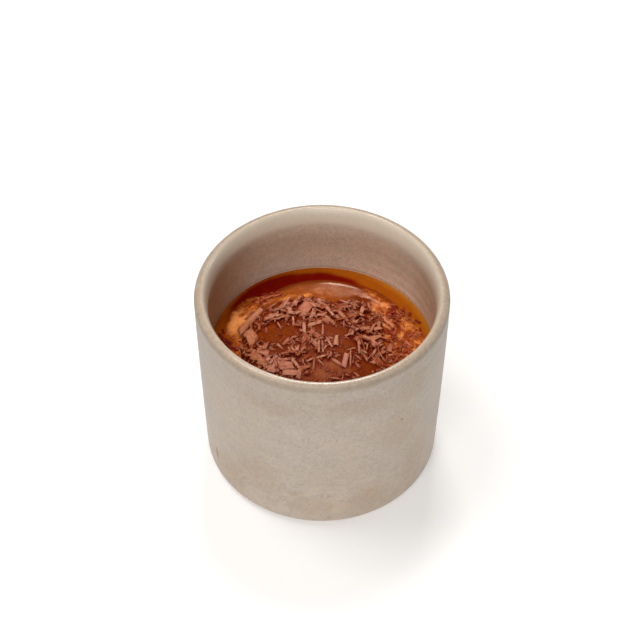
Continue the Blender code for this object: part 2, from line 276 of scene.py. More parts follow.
class Recipe:
    """A material, and the nodes that make it up."""

    def __init__(self, name):
        self.material = bpy.data.materials.new(name)
        self.material.use_nodes = True
        self.tree = self.material.node_tree
        self.tree.nodes.clear()
        self.output = self.tree.nodes.new("ShaderNodeOutputMaterial")

    def add(self, kind, settings=None, inputs=None, output=0):
        """A node of a kind: its settings, then the values or links of its sockets."""
        node = self.tree.nodes.new(kind)
        for name, value in (settings or {}).items():
            setattr(node, name, value)
        for key, value in (inputs or {}).items():
            self.feed(node.inputs[key], value)
        return Term(self, node.outputs[output])

    def feed(self, socket, value):
        """Links a socket to a value, or sets it to a plain number, vector or colour."""
        if isinstance(value, Term):
            self.tree.links.new(value.socket, socket)
        elif np.ndim(value):
            socket.default_value = (*value, 1.0) if socket.type == "RGBA" else tuple(value)
        else:
            socket.default_value = value

    def place(self):
        """Object coordinates in millimetres."""
        inputs = {0: self.add("ShaderNodeTexCoord", output="Object"), "Scale": MM}
        return self.add("ShaderNodeVectorMath", {"operation": "SCALE"}, inputs)

    def split(self, vector):
        """The three numbers of a vector."""
        node = self.add("ShaderNodeSeparateXYZ", inputs={0: vector}).socket.node
        return [Term(self, socket) for socket in node.outputs]

    def stretch(self, vector, scale):
        """A vector with each of its numbers multiplied."""
        inputs = {0: vector, 1: scale}
        return self.add("ShaderNodeVectorMath", {"operation": "MULTIPLY"}, inputs)

    def noise(self, vector, size, detail=3.0, roughness=0.55, distortion=0.0):
        """Soft noise about 0.5 whose blotches are about size across."""
        inputs = {
            "Vector": vector,
            "Scale": 1.0 / size,
            "Detail": detail,
            "Roughness": roughness,
            "Distortion": distortion,
        }
        return self.add("ShaderNodeTexNoise", {}, inputs, "Fac")

    def specks(self, vector, spacing, radius, chance):
        """1 in small round specks of about that radius. chance is the share of the cells, in a net
        of that spacing, that have one."""
        inputs = {"Vector": vector, "Scale": 1.0 / spacing}
        node = self.add("ShaderNodeTexVoronoi", {"feature": "F1"}, inputs).socket.node
        drawn = self.split(Term(self, node.outputs["Color"]))
        reach = Term(self, node.outputs["Distance"]) * spacing
        size = drawn[1] * radius + 0.4 * radius
        near = (size - reach).step(0.0, 0.25 * radius)
        return near * drawn[0].step(chance + 0.01, chance)

    def near(self, vector, point, radius):
        """1 round a point, falling to 0 at radius from it."""
        inputs = {0: vector, 1: point}
        reach = self.add("ShaderNodeVectorMath", {"operation": "DISTANCE"}, inputs, "Value")
        return reach.step(radius, 0.4 * radius)

    def attribute(self, name, output="Fac"):
        """A number, or with output Vector three of them, kept for each point of a piece."""
        return self.add("ShaderNodeAttribute", {"attribute_name": name}, {}, output)

    def mix(self, factor, first, second):
        """Colour first where factor is 0 and second where it is 1."""
        settings = {"data_type": "RGBA", "clamp_factor": True}
        return self.add("ShaderNodeMix", settings, {0: factor, 6: first, 7: second}, 2)

    def shade(self, tint, amount):
        """A colour made lighter or darker by a number about 1."""
        inputs = {0: tint, "Scale": amount}
        return self.add("ShaderNodeVectorMath", {"operation": "SCALE"}, inputs)

    def bump(self, height, strength, distance):
        """A normal tilted by relief whose full depth is distance (mm)."""
        inputs = {"Height": height, "Strength": strength, "Distance": distance / MM}
        return self.add("ShaderNodeBump", {}, inputs)

    def crema(self, place, settings):
        """Marbled foam: its colour and the marbling that tears its edges. The thick pale foam is
        brightened at the left as painted light; elsewhere the foam is broken into small dark bits
        and painted glints."""
        marble = self.noise(place, 3.4, 4.0, 0.6, 0.4)
        fine = self.noise(place, 1.6, 3.0, 0.60, 0.6)
        pale = self.attribute("pale")
        broken = (fine - 0.5) * (5.4 - pale * 4.8)
        tint = self.mix((marble - 0.40) * 3.0 + broken, settings.crema_dark, settings.crema)
        thick = pale * ((marble - 0.40) * 3.8 + (fine - 0.5) * 1.0 + 0.15)
        glints = (1 - pale) * ((fine - 0.56) * 4.6 + (marble - 0.5) * 2.0)
        return self.mix(thick.most(glints.least(0.75)), tint, settings.crema_pale), marble

    def principled(self, **sockets):
        """Ends the material in a Principled shader with these sockets set or linked."""
        names = {
            key.replace("_", " ").title().replace("Ior", "IOR"): value
            for key, value in sockets.items()
        }
        shader = self.add("ShaderNodeBsdfPrincipled", {}, names)
        self.feed(self.output.inputs["Surface"], shader)
        return self.material


# ---------------------------------------------------------------- meshes


def add_piece(name, points, faces, material, nodes):
    """A smooth piece from points in mm and lists of faces. It rides on the root and stands for
    solid nodes."""
    mesh = bpy.data.meshes.new(name)
    mesh.from_pydata((points / MM).tolist(), [], faces)
    mesh.update()
    mesh.shade_smooth()
    mesh.materials.append(material)
    piece = bpy.data.objects.new(name, mesh)
    bpy.context.scene.collection.objects.link(piece)
    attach(piece, "root")
    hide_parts(*nodes)
    return piece


def add_attribute(piece, name, values):
    """A number for each point of a piece, or three numbers."""
    kind, key = ("FLOAT", "value") if values.ndim == 1 else ("FLOAT_VECTOR", "vector")
    layer = piece.data.attributes.new(name, kind, "POINT")
    layer.data.foreach_set(key, values.astype(np.float32).ravel())


def wrapped_surface(rings):
    """Points and outward faces of a body of rings, each closed, with a pole at either end.

    rings[i, j] is the point of ring i at angle j. Neighbouring rings are joined by four-sided
    faces, and the first and last ring by a fan of triangles to their middle.
    """
    rows, columns = rings.shape[:2]
    points = np.vstack([rings.reshape(-1, 3), rings[[0, -1]].mean(axis=1)])
    index = np.arange(rows * columns).reshape(rows, columns)
    beside = np.roll(index, -1, axis=1)
    quads = np.stack([index[:-1], beside[:-1], beside[1:], index[1:]], axis=-1).reshape(-1, 4)
    first, last = np.full(columns, rows * columns), np.full(columns, rows * columns + 1)
    fans = np.concatenate([
        np.stack([beside[0], index[0], first], axis=-1),
        np.stack([index[-1], beside[-1], last], axis=-1),
    ])
    a, b, c = (points[quads[:, k]] for k in range(3))
    inward = np.einsum("ij,ij->i", a, np.cross(b, c)).sum() < 0
    way = -1 if inward else 1
    return points, quads[:, ::way].tolist() + fans[:, ::way].tolist()


def waves(x, y, size, seed, octaves=3):
    """Smooth relief between about -1 and 1: plane waves of drawn headings, finer and fainter."""
    rng = np.random.default_rng(seed)
    total = np.zeros(np.broadcast(x, y).shape)
    weight, sum_of_squares = 1.0, 0.0
    for octave in range(octaves):
        for _ in range(7):
            heading, phase = rng.uniform(0, 2 * math.pi, 2)
            number = 2 * math.pi / (size * rng.uniform(0.7, 1.4)) * 1.9**octave
            along = x * math.cos(heading) + y * math.sin(heading)
            total += weight * np.sin(number * along + phase)
            sum_of_squares += weight**2
        weight *= 0.55
    return total / math.sqrt(sum_of_squares / 2) / 2.2


def smooth_step(value, low, high):
    """0 below low, 1 above high, and 3t2 - 2t3 between."""
    t = np.clip((value - low) / (high - low), 0, 1)
    return t * t * (3 - 2 * t)


def azimuth(x, y):
    """Degrees round the cup from the right, counted to the back; below 0 in front."""
    return np.degrees(np.arctan2(y, x))


def between(value, low, high, soft):
    """1 between low and high, fading to 0 over soft on either side."""
    past = smooth_step(value, high - soft, high + soft)
    return smooth_step(value, low - soft, low + soft) * (1 - past)


def patch(x, y, middle_x, middle_y, wide, deep, soft=0.35):
    """1 inside an ellipse, fading to 0 across its edge."""
    out = np.hypot((x - middle_x) / wide, (y - middle_y) / deep)
    return 1 - smooth_step(out, 1 - soft, 1 + soft)


def patches(x, y, rows, soft=0.35):
    """The sum of patches, each a row of its middle, its half widths and its strength."""
    return sum(patch(x, y, *row[:4], soft) * row[4] for row in rows)


def polar(rows, columns):
    """Angles of a wrapped surface's columns, shaped to go with its rows."""
    return np.linspace(0, 2 * math.pi, columns, endpoint=False)[None, :] + np.zeros((rows, 1))


def rings_from(radius, height, angle):
    """Rings from the radius and the height at each angle."""
    return np.stack([radius * np.cos(angle), radius * np.sin(angle), height + 0 * angle], axis=-1)


# ---------------------------------------------------------------- the cup


# Radius of the ring round the pole of a flat surface
POLE_RADIUS = 0.6


def outer_wall(height):
    """Outer radius: it widens evenly from foot to lip, with a slight bulge between."""
    t = (height - FOOT_CORNER) / (CUP_HEIGHT - LIP_ROUND - FOOT_CORNER)
    return FOOT_RADIUS + (RIM_RADIUS - FOOT_RADIUS) * t + WALL_BULGE * 4 * t * (1 - t)


def cavity_section(outward, level):
    """Radius and height of the cup's inside up to a level, moved out by outward."""
    corner = np.radians(np.linspace(-90, 0, 12))
    wall = INNER_RADIUS + outward
    floor = FLOOR_THICKNESS - outward
    flat = np.linspace(POLE_RADIUS, wall - FLOOR_CORNER, 8)[:-1]
    radius = [flat, wall - FLOOR_CORNER + FLOOR_CORNER * np.cos(corner)]
    height = [np.full_like(flat, floor), floor + FLOOR_CORNER + FLOOR_CORNER * np.sin(corner)]
    rise = np.linspace(floor + FLOOR_CORNER, level, 70)[1:]
    return np.concatenate([*radius, np.full_like(rise, wall)]), np.concatenate([*height, rise])


def cup_section():
    """Radius and height along the cup's whole section, from the inner floor to under the base.

    The lip is a quarter circle outside and a quarter of a tall ellipse inside, so that it falls
    softly into the cup."""
    inner_radius, inner_height = cavity_section(0.0, CUP_HEIGHT - LIP_SLOPE)
    crest = RIM_RADIUS - LIP_ROUND
    inner = np.radians(np.linspace(180, 90, 32))[1:]
    outer = np.radians(np.linspace(90, 0, 14))[1:]
    foot = np.radians(np.linspace(0, -90, 14))[1:]
    wall = np.linspace(CUP_HEIGHT - LIP_ROUND, FOOT_CORNER, 76)[1:]
    base = np.linspace(FOOT_RADIUS - FOOT_CORNER, POLE_RADIUS, 8)[1:]
    radius = [
        inner_radius,
        crest + (crest - INNER_RADIUS) * np.cos(inner),
        crest + LIP_ROUND * np.cos(outer),
        outer_wall(wall),
        FOOT_RADIUS - FOOT_CORNER + FOOT_CORNER * np.cos(foot),
        base,
    ]
    height = [
        inner_height,
        CUP_HEIGHT - LIP_SLOPE + LIP_SLOPE * np.sin(inner),
        CUP_HEIGHT - LIP_ROUND + LIP_ROUND * np.sin(outer),
        wall,
        FOOT_CORNER + FOOT_CORNER * np.sin(foot),
        np.zeros_like(base),
    ]
    return np.concatenate(radius), np.concatenate(height)


# How far the throwing lines rise in one turn
THROWING_PITCH = 4.4


def thrown(r, z, angle, depth, wobble):
    """Radius and height of the section as it leaves the wheel.

    A wave of that depth winds up the side once in each THROWING_PITCH, swaying a little. The side
    strays from its circle by wobble, as an oval and a weaker three-lobed form, and the lip rises
    and dips twice and, less, five times round."""
    side = smooth_step(r, 20, 34)
    turn = z / THROWING_PITCH * 2 * math.pi + angle
    lines = np.sin(turn + 1.5 * np.sin(z / 7.0)) * (0.6 + 0.4 * np.cos(angle * 2 + z / 9))
    oval = np.cos(2 * angle + 0.6) * 0.7 + 0.45 * np.sin(3 * angle + z / 30)
    radius = r + side * (lines * depth * smooth_step(z, 4, 12) * smooth_step(-z, -70, -64))
    radius = radius + side * oval * wobble * smooth_step(z, 0, 30)
    near_lip = smooth_step(z, 60, 72)
    height = z + near_lip * 0.16 * np.sin(2 * angle + 1.1)
    return radius, height + near_lip * 0.07 * np.sin(5 * angle)


# Tan clouds on the outer wall: degrees round the cup and height, half width and half height (mm)
CLOUDS = (
    (-122, 21.0, 8.0, 8.5),
    (-140, 12.0, 8.0, 8.0),
    (-97, 11.5, 8.5, 5.5),
    (-66, 11.5, 8.5, 7.5),
    (-40, 18.0, 7.0, 10.0),
    (-52, 43.0, 8.0, 9.0),
    (-47, 60.0, 7.5, 8.0),
    (-112, 60.0, 9.0, 3.5),
    (-74, 61.0, 10.0, 4.0),
    (62, 24.0, 10.0, 7.0),
    (118, 48.0, 8.0, 9.0),
    (165, 20.0, 9.0, 8.0),
)

# The darkest specks in the glaze, and a scratch low on the left, with its length in widths
SPECKS = ((25.4, -31.4, 46.8), (15.8, -37.2, 9.6), (-33.5, -22.6, 54.6), (37.9, 14.9, 63.0))
SCRATCH = (-34.9, -18.7, 13.0)
SCRATCH_LENGTH = 5.0


def stoneware(settings):
    """Oatmeal glaze: cool and warm patches, tan clouds, fine grain, pits, pale and iron specks.

    The lip's top is glossier and paler and its outer edge browner, where the glaze is thin and
    where painted shade falls as the lip meets the wall. The outer wall is lighter towards the
    bottom, as painted floor light, and a little darker higher up. Inside, the glaze carries painted
    light and
    shade: a lit band inside the lip, shade below it, most of all on the left, and warm bounce light
    from the coffee just above it."""
    mix = Recipe("stoneware_glaze")
    place = mix.place()
    x, y, z = mix.split(place)
    radius = (x * x + y * y) ** 0.5
    blotch = mix.noise(place, 19.0, 4.0, 0.6, 0.5)
    cloud = mix.noise(mix.stretch(place, (1.0, 1.0, 1.3)), 5.5, 5.0, 0.66, 0.8)
    pit = mix.noise(place, 1.15, 3.0, 0.66, 0.4)
    grain = mix.noise(place, 0.55, 2.0, 0.7)
    streak = mix.noise(mix.stretch(place, (0.10, 0.10, 1.0)), 2.2, 2.0, 0.5)

    low = z.step(30.0, 5.0)
    clouded = mix.attribute("clouded")
    warmth = (blotch - 0.5) * 2.2 + (cloud - 0.5) * 0.8 + low * 0.35 + 0.40
    tint = mix.mix(warmth, settings.cool, settings.warm)
    tan = (cloud * 0.6 + blotch * 0.4 + (pit - 0.5) * 0.15 + low * 0.05).step(0.52, 0.66)
    tan = tan * 0.34 + clouded * (cloud - 0.05) * 1.05
    tint = mix.mix(tan, tint, settings.tan)

    outside = radius.step(38.9, 39.5)
    lip = z.step(CUP_HEIGHT - 1.0, CUP_HEIGHT - 0.35)
    # The lip's outer edge is browner: thin glaze, and painted shade where the lip meets the wall
    edge = (z - (CUP_HEIGHT - 1.5)).size().step(1.9, 0.2) * outside
    broken = mix.noise(place, 9.0, 4.0, 0.6).step(0.30, 0.60)
    tint = mix.mix(lip, tint, settings.lip)
    tint = mix.mix(edge * (1 - lip * 0.6) * (broken * 0.45 + 0.55), tint, settings.edge)

    tone = (streak - 0.5) * 0.06 + (grain - 0.5) * 0.38 + (pit - 0.5) * 0.44
    tone = tone + (cloud - 0.5) * (low * 0.46 + 0.34)
    # Painted floor light makes the outer wall lighter towards the bottom; it is also a little
    # darker from halfway up to the lip
    tone = tone + low * 0.09 - z.step(46.0, 66.0) * outside * 0.07
    tint = mix.shade(tint, tone + 1.0)
    crowd = (mix.noise(place, 8.0, 3.0, 0.6) + clouded * 0.05 + low * 0.04).step(0.46, 0.58)
    pits = mix.noise(mix.stretch(place, (1.1, 1.0, 0.8)), 0.95, 2.0, 0.6, 0.7)
    pits = pits.step(0.60, 0.69) * crowd
    fibre = mix.noise(mix.stretch(place, (1.0, 1.0, 1.8)), 1.7, 2.0, 0.55, 1.6)
    marks = fibre.step(0.60, 0.67) * (crowd * 0.75 + 0.25)
    chips = fibre.step(0.37, 0.31) * (crowd * 0.6 + 0.4)
    pale = mix.specks(place, 1.5, 0.20, 0.20) * 0.34
    dark = mix.specks(mix.stretch(place, (1.07, 0.94, 1.02)), 2.1, 0.24, 0.28) * 0.36
    tint = mix.mix(pits * 0.36, tint, settings.stain)
    tint = mix.mix(marks * 0.27, tint, settings.stain)
    tint = mix.mix((pale + chips * 0.32) * (1 - lip), tint, settings.lip)
    tint = mix.mix(dark, tint, settings.stain)
    iron = mix.specks(mix.stretch(place, (0.97, 1.05, 1.0)), 6.5, 0.32, 0.16) * 0.85
    for point in SPECKS:
        iron = iron.most(mix.near(place, point, 0.55))
    shrink = (1.0, 1.0, 1.0 / SCRATCH_LENGTH)
    flaw = mix.near(mix.stretch(place, shrink), np.multiply(SCRATCH, shrink), 0.85)
    tint = mix.mix(flaw * 0.90, tint, settings.stain)
    tint = mix.mix(iron, tint, settings.iron)

    within = radius.step(39.2, 37.4) * z.step(5.0, 9.0)
    # deep is 0 in the lit band inside the lip and 1 below its painted shadow edge
    deep = z.step(CUP_HEIGHT - 5.0, CUP_HEIGHT - 9.5)
    # Painted shade on the inner left wall, and weaker in a band at the far right
    shaded = (x * -0.94 - y * 0.34).step(2.0, 34.0) + (x * 0.97 + y * 0.24).step(33.5, 37.2) * 0.40
    # Painted warm bounce light from the coffee on the glaze just above it
    near_coffee = z.step(58.0, COFFEE_LEVEL + 1.0)
    inner = mix.mix((cloud - 0.5) * 2.2 + 0.3, settings.inside, settings.inside_warm)
    inner = mix.mix(near_coffee * 0.9, inner, settings.coffee_bounce_light)
    inner = mix.mix(shaded * deep * 0.78, inner, settings.shade_and_waterline)
    # Painted light on the band inside the lip
    tint = mix.mix(within * (1 - deep) * 0.7, tint, settings.lit_inner_lip)
    tint = mix.mix(within * (deep * 0.85 + 0.15), tint, mix.shade(inner, tone * 1.35 + 1.0))
    # A thin darker band just above the coffee, in the colour of the painted shade
    tide = (z - (COFFEE_LEVEL + 1.1)).size().step(0.7, 0.1) * within
    tint = mix.mix(tide * 0.30, tint, settings.shade_and_waterline)

    bare = z.step(0.5, 0.15) * radius.step(FOOT_RADIUS - 0.6, FOOT_RADIUS - 1.6)
    tint = mix.mix(bare, tint, settings.clay)
    gloss = lip * -0.29 + within * (1 - deep) * -0.10
    roughness = bare * 0.35 + (pit - 0.5) * 0.2 + gloss + settings.roughness
    relief = grain * 0.25 + pit * 0.55 + cloud * 0.5 + streak * 0.15 - pits * 0.35 - iron * 0.4
    return mix.principled(
        base_color=tint,
        roughness=roughness,
        specular_ior_level=0.46,
        normal=mix.bump(relief, 0.35, 0.13),
    )


class AFFOGATO_OT_cup(bpy.types.Operator):
    """Make the stoneware cup"""

    bl_idname = "affogato.cup"
    bl_label = "Cup"

    def execute(self, context):
        settings = context.scene.affogato_cup
        radius, height = cup_section()
        angle = polar(len(radius), 320)
        depth, wobble = settings.throwing_depth * MM, settings.wobble * MM
        radius, height = thrown(radius[:, None], height[:, None], angle, depth, wobble)
        points, faces = wrapped_surface(rings_from(radius, height, angle))
        piece = add_piece("cup_glazed", points, faces, stoneware(settings), ["cup"])
        x, y, z = points.T
        arc = np.radians(azimuth(x, y)) * RIM_RADIUS
        torn = waves(arc, z, 7.0, 41) * 2.2
        clouded = np.zeros(len(points))
        for turn, *cloud in CLOUDS:
            middle = math.radians(turn) * RIM_RADIUS
            clouded = np.maximum(clouded, patch(arc + torn, z - torn, middle, *cloud, soft=0.55))
        add_attribute(piece, "clouded", clouded * smooth_step(np.hypot(x, y), 38.6, 39.4))
        return {"FINISHED"}


# ---------------------------------------------------------------- the contents' shape


def scoop_radius(angle):
    """The scoop's widest radius: broad to the back, narrower at the two sides."""
    narrowing = 0.035 * np.cos(2 * angle - math.pi)
    return SCOOP_RADIUS * (1 + narrowing + 0.025 * np.cos(angle - 1.31))


def scoop_swell(x, y):
    """Shallow swells of the scoop's top."""
    return 0.35 * (np.sin(x * 0.19 + 0.8) + np.cos(y * 0.23 - x * 0.09))


def scoop_share(x, y):
    """How far out a place lies: 0 in the middle of the scoop, 1 at its widest outline."""
    return np.hypot(x, y) / scoop_radius(np.arctan2(y, x))


def scoop_height(x, y):
    """The scoop's top at a place: half an ellipsoid with shallow swells; its edge beyond it."""
    out = scoop_share(x, y)
    dome = (SCOOP_TOP - SCOOP_WIDEST) * np.sqrt(np.clip(1 - out**2, 0, None))
    return SCOOP_WIDEST + dome + scoop_swell(x, y) * np.clip(1 - out**2, 0, None)


def crema_edge(turn):
    """How far out the crema reaches at each angle: it leaves clear coffee along the wall."""
    back = 2.7 * between(turn, 25, 95, 14) + 2.9 * between(turn, 112, 136, 7)
    return 33.8 - back - 3.0 * smooth_step(np.abs(turn), 152, 180)


def crema_cover(x, y):
    """How much crema lies at a place on the coffee, 0 to 1: a patch at the left, a broad one at
    the right and in front, none behind; its edges are torn."""
    r, turn = np.hypot(x, y), azimuth(x, y)
    calm = between(turn, 136, 180, 10)
    torn = (1 - 0.6 * calm) * (0.8 * waves(x, y, 5.0, 3) + 0.4 * waves(x, y, 1.8, 4, 2))
    soft = 0.8 + 1.2 * between(turn, -150, 60, 10) + 0.6 * calm
    shore = 1 - smooth_step(r + torn, crema_edge(turn) - soft, crema_edge(turn) + soft)
    left = np.maximum(between(turn, 128, 173, 4), 0.62 * smooth_step(np.abs(turn), 166, 176))
    right = between(turn, -150, 60, 8)
    return np.clip((left + right) * shore, 0, 1)


# Light smooth places in the crema at the right: middle and half width, across and back (mm)
LIGHT_CREMA = (
    (20.0, 17.2, 3.6, 2.0),
    (18.2, 12.2, 1.7, 2.4),
    (28.3, 9.0, 3.0, 1.5),
    (22.3, 0.2, 1.5, 1.9),
    (26.2, 4.4, 1.6, 1.8),
    (31.9, 7.4, 1.8, 1.2),
    (27.9, -1.2, 1.8, 1.8),
    (23.6, 8.6, 1.4, 1.8),
)


def light_crema(x, y):
    """How light and smooth the crema is at a place at the right, 0 to 1."""
    swerve = 0.8 * waves(x, y, 2.4, 51, 2)
    places = [patch(x + swerve, y - swerve, *place, soft=0.5) for place in LIGHT_CREMA]
    return np.max(places, axis=0) * 0.70


def coffee_height(x, y, meniscus, crema_depth):
    """The coffee's surface: it climbs at the wall and at the scoop, higher where there is crema,
    and carries the crema, which is smoother at the left."""
    r = np.hypot(x, y)
    scoop = scoop_radius(np.arctan2(y, x)) * WATERLINE
    climb = meniscus * np.exp(-np.clip(INNER_RADIUS - r, 0, None) / 0.6)
    cover = crema_cover(x, y)
    reach = 0.7 + 1.3 * cover
    climb = climb + (0.35 + 0.8 * cover) * np.exp(-np.clip(r - scoop, 0, None) / reach)
    relief = 0.14 * waves(x, y, 3.6, 5) + 0.05 * waves(x, y, 1.4, 6, 2)
    foam = cover * (crema_depth + relief * np.where(x < 0, 0.4, 1.0))
    return COFFEE_LEVEL + climb + foam


def contents_height(x, y):
    """The top of the scoop or of the coffee, whichever is higher."""
    return np.maximum(scoop_height(x, y), coffee_height(x, y, MENISCUS, CREMA_DEPTH))


# ---------------------------------------------------------------- the coffee


def coffee_finish(settings):
    """Espresso under torn crema: dark at the back, amber against the wall, orange foam."""
    mix = Recipe("espresso_crema")
    place = mix.place()
    names = ("crema", "amber", "shaded", "rim", "shore")
    crema, amber, shaded, rim, shore = map(mix.attribute, names)
    foam, marble = mix.crema(place, settings)
    drift = mix.noise(mix.stretch(place, (1.0, 1.0, 0.3)), 4.5, 3.0, 0.5, 0.8)
    tint = mix.mix(amber + (drift - 0.5) * 0.25, settings.espresso, settings.amber)
    tint = mix.mix(shaded, tint, settings.olive)
    tint = mix.mix(rim * (1 - shaded) * 0.8, tint, settings.honey)
    tint = mix.mix(shore * 0.9, tint, settings.wash)
    bubbles = mix.specks(place, 0.75, 0.20, 0.35) * crema * 0.30
    cover = (crema + (marble - 0.5) * 0.5 * crema.step(0.0, 0.4)).step(0.10, 0.80)
    tint = mix.mix(cover, tint, foam)
    tint = mix.mix(bubbles, tint, settings.crema_pale)
    tint = mix.shade(tint, (drift - 0.5) * 0.25 + 1.0)
    return mix.principled(
        base_color=tint,
        roughness=cover * 0.28 + 0.16,
        specular_ior_level=0.04,
        normal=mix.bump((marble * 0.5 + bubbles) * cover, 0.40, 0.20),
    )


def coffee_rings(meniscus, crema_depth):
    """Rings of the coffee: up the hollow that the scoop stands in, out over the surface, and down
    along the wall.

    The hollow is the scoop's form a little shrunk. The surface starts well inside the scoop's
    edge and ends just inside the glaze, so that no gap shows, and has more rings near the wall."""
    columns, hollow_rows, top_rows = 420, 24, 46
    sunk, overlap, into_wall = 0.4, 3.8, 0.12
    angle = polar(hollow_rows, columns)
    lat = np.radians(np.linspace(-88, 12, hollow_rows))[:, None]
    depth = np.where(lat < 0, SCOOP_WIDEST - SCOOP_BOTTOM, SCOOP_TOP - SCOOP_WIDEST) - sunk
    hollow_radius = (scoop_radius(angle) - sunk) * np.cos(lat)
    hollow = rings_from(hollow_radius, SCOOP_WIDEST + depth * np.sin(lat), angle)
    angle = polar(top_rows, columns)
    start = scoop_radius(angle) - overlap
    out = np.linspace(0.0, 1.0, top_rows)[:, None] ** 0.8
    radius = start + (INNER_RADIUS + into_wall - start) * out
    x, y = radius * np.cos(angle), radius * np.sin(angle)
    surface = np.stack([x, y, coffee_height(x, y, meniscus, crema_depth)], axis=-1)
    radius, height = (line[::-3] for line in cavity_section(-0.1, COFFEE_LEVEL - 0.6))
    angle = polar(len(radius), columns)
    body = rings_from(radius[:, None] + 0 * angle, height[:, None], angle)
    return np.concatenate([hollow, surface, body])


def tint_coffee(piece, x, y):
    """Where the coffee is amber, shaded or washed with the coat, and where the crema lies."""
    r, turn = np.hypot(x, y), azimuth(x, y)
    torn = waves(x, y, 9.0, 8, 2) * 0.25
    clear = 34.7 + 1.9 * between(turn, 110, 150, 14) - 2.1 * smooth_step(-turn, -92, -62)
    inner = smooth_step(r + torn, clear - 1.1, clear + 1.1)
    tail = smooth_step(r + torn, 30.8, 32.6) * 0.7 + 0.3
    amber = inner + (tail - inner) * smooth_step(-turn, -74, -58)
    amber = amber + (1 - amber) * smooth_step(-turn, -44, -18)
    waterline = scoop_radius(np.arctan2(y, x)) * WATERLINE
    shore = (1 - smooth_step(r - waterline, 0.3, 1.1)) * between(turn, 66, 122, 10)
    # Pale crema: thick pale foam brightened at the left as painted light, and light smooth places
    pale = between(turn, 150, 170, 7) + light_crema(x, y)
    add_attribute(piece, "crema", crema_cover(x, y))
    add_attribute(piece, "pale", np.clip(pale, 0, 1))
    add_attribute(piece, "amber", np.clip(amber, 0, 1))
    add_attribute(piece, "rim", smooth_step(r, 34.4, 36.6) * smooth_step(-turn, -100, -40))
    add_attribute(piece, "shore", shore)
    add_attribute(piece, "shaded", smooth_step(np.abs(turn), 146, 162) * 0.9)


class AFFOGATO_OT_coffee(bpy.types.Operator):
    """Make the coffee with its crema"""

    bl_idname = "affogato.coffee"
    bl_label = "Coffee"

    def execute(self, context):
        settings = context.scene.affogato_coffee
        rings = coffee_rings(settings.meniscus * MM, settings.crema_depth * MM)
        points, faces = wrapped_surface(rings)
        material = coffee_finish(settings)
        piece = add_piece("coffee_with_crema", points, faces, material, ["coffee"])
        tint_coffee(piece, points[:, 0], points[:, 1])
        return {"FINISHED"}


# ---------------------------------------------------------------- the scoop


def scoop_finish(settings, coffee):
    """Coffee coat: brown, lighter where it is thin, with crema, pale foam and a painted highlight
    on it, and painted shade under the shavings."""
    mix = Recipe("coated_ice_cream")
    place = mix.place()
    crema, foam, thin, under = map(mix.attribute, ("crema", "foam", "thin", "under"))
    cloud = mix.noise(place, 6.0, 4.0, 0.55, 0.8)
    fine = mix.noise(place, 0.6, 3.0, 0.6)
    cream, marble = mix.crema(place, coffee)
    tint = mix.mix(thin + (cloud - 0.5) * 0.6, settings.coat, settings.coat_light)
    cover = (crema + (marble - 0.5) * 1.1 * crema.step(0.0, 0.4)).step(0.2, 0.8)
    tint = mix.mix(cover, tint, cream)
    # Pale foam and the painted highlight on the back shoulder, broken up by noise
    pale = foam + (marble - 0.5) * 0.45 * foam.step(0.0, 0.3)
    pale = pale + (fine - 0.5) * 1.1 * foam.step(0.3, 0.8)
    tint = mix.mix(pale.step(0.0, 1.0), tint, settings.foam)
    rough = mix.noise(place, 1.3, 4.0, 0.68, 0.5)
    tint = mix.shade(tint, (fine - 0.5) * 0.85 + (rough - 0.5) * 1.1 + 1.0)
    # Painted shade under the shavings
    tint = mix.mix(under * 0.88, tint, settings.crevice_shade)
    return mix.principled(
        base_color=tint,
        roughness=(fine - 0.5) * 0.15 - foam * 0.14 + 0.44,
        specular_ior_level=0.06,
        normal=mix.bump(marble * 0.3 + rough * 0.8 + fine * 0.3, 0.40, 0.20),
    )


# Orange crema behind the shavings, and smooth crema: middle, half widths and strength
ORANGE_CREMA = ((-1.0, 18.4, 5.0, 4.6, 0.42), (-9, 17.5, 5, 2.6, 0.38), (-17, 20, 5.5, 5.5, 0.36))
SMOOTH_CREMA = ((18, 14, 4.0, 8.0, 0.35), (-6, 19, 14, 5, 0.35))


def scoop_rings():
    """Rings of the scoop from its bottom to its top: below its widest ring half an ellipsoid, above
    it the scoop's height at each place with soft relief."""
    lat = np.concatenate([np.linspace(-88.5, 0, 40)[:-1], np.linspace(0, 88.8, 90)])
    lat = np.radians(lat)[:, None]
    angle = polar(len(lat), 400)
    radius = scoop_radius(angle) * np.cos(lat)
    x, y = radius * np.cos(angle), radius * np.sin(angle)
    under = SCOOP_WIDEST + (SCOOP_WIDEST - SCOOP_BOTTOM) * np.sin(lat) + 0 * x
    height = np.where(lat < 0, under, scoop_height(x, y))
    soft = waves(x, y, 7.0, 21, 2) * 0.16 + waves(x, y, 2.2, 22, 2) * 0.035
    return np.stack([x, y, height + soft * smooth_step(np.sin(lat), 0.1, 0.4)], axis=-1)


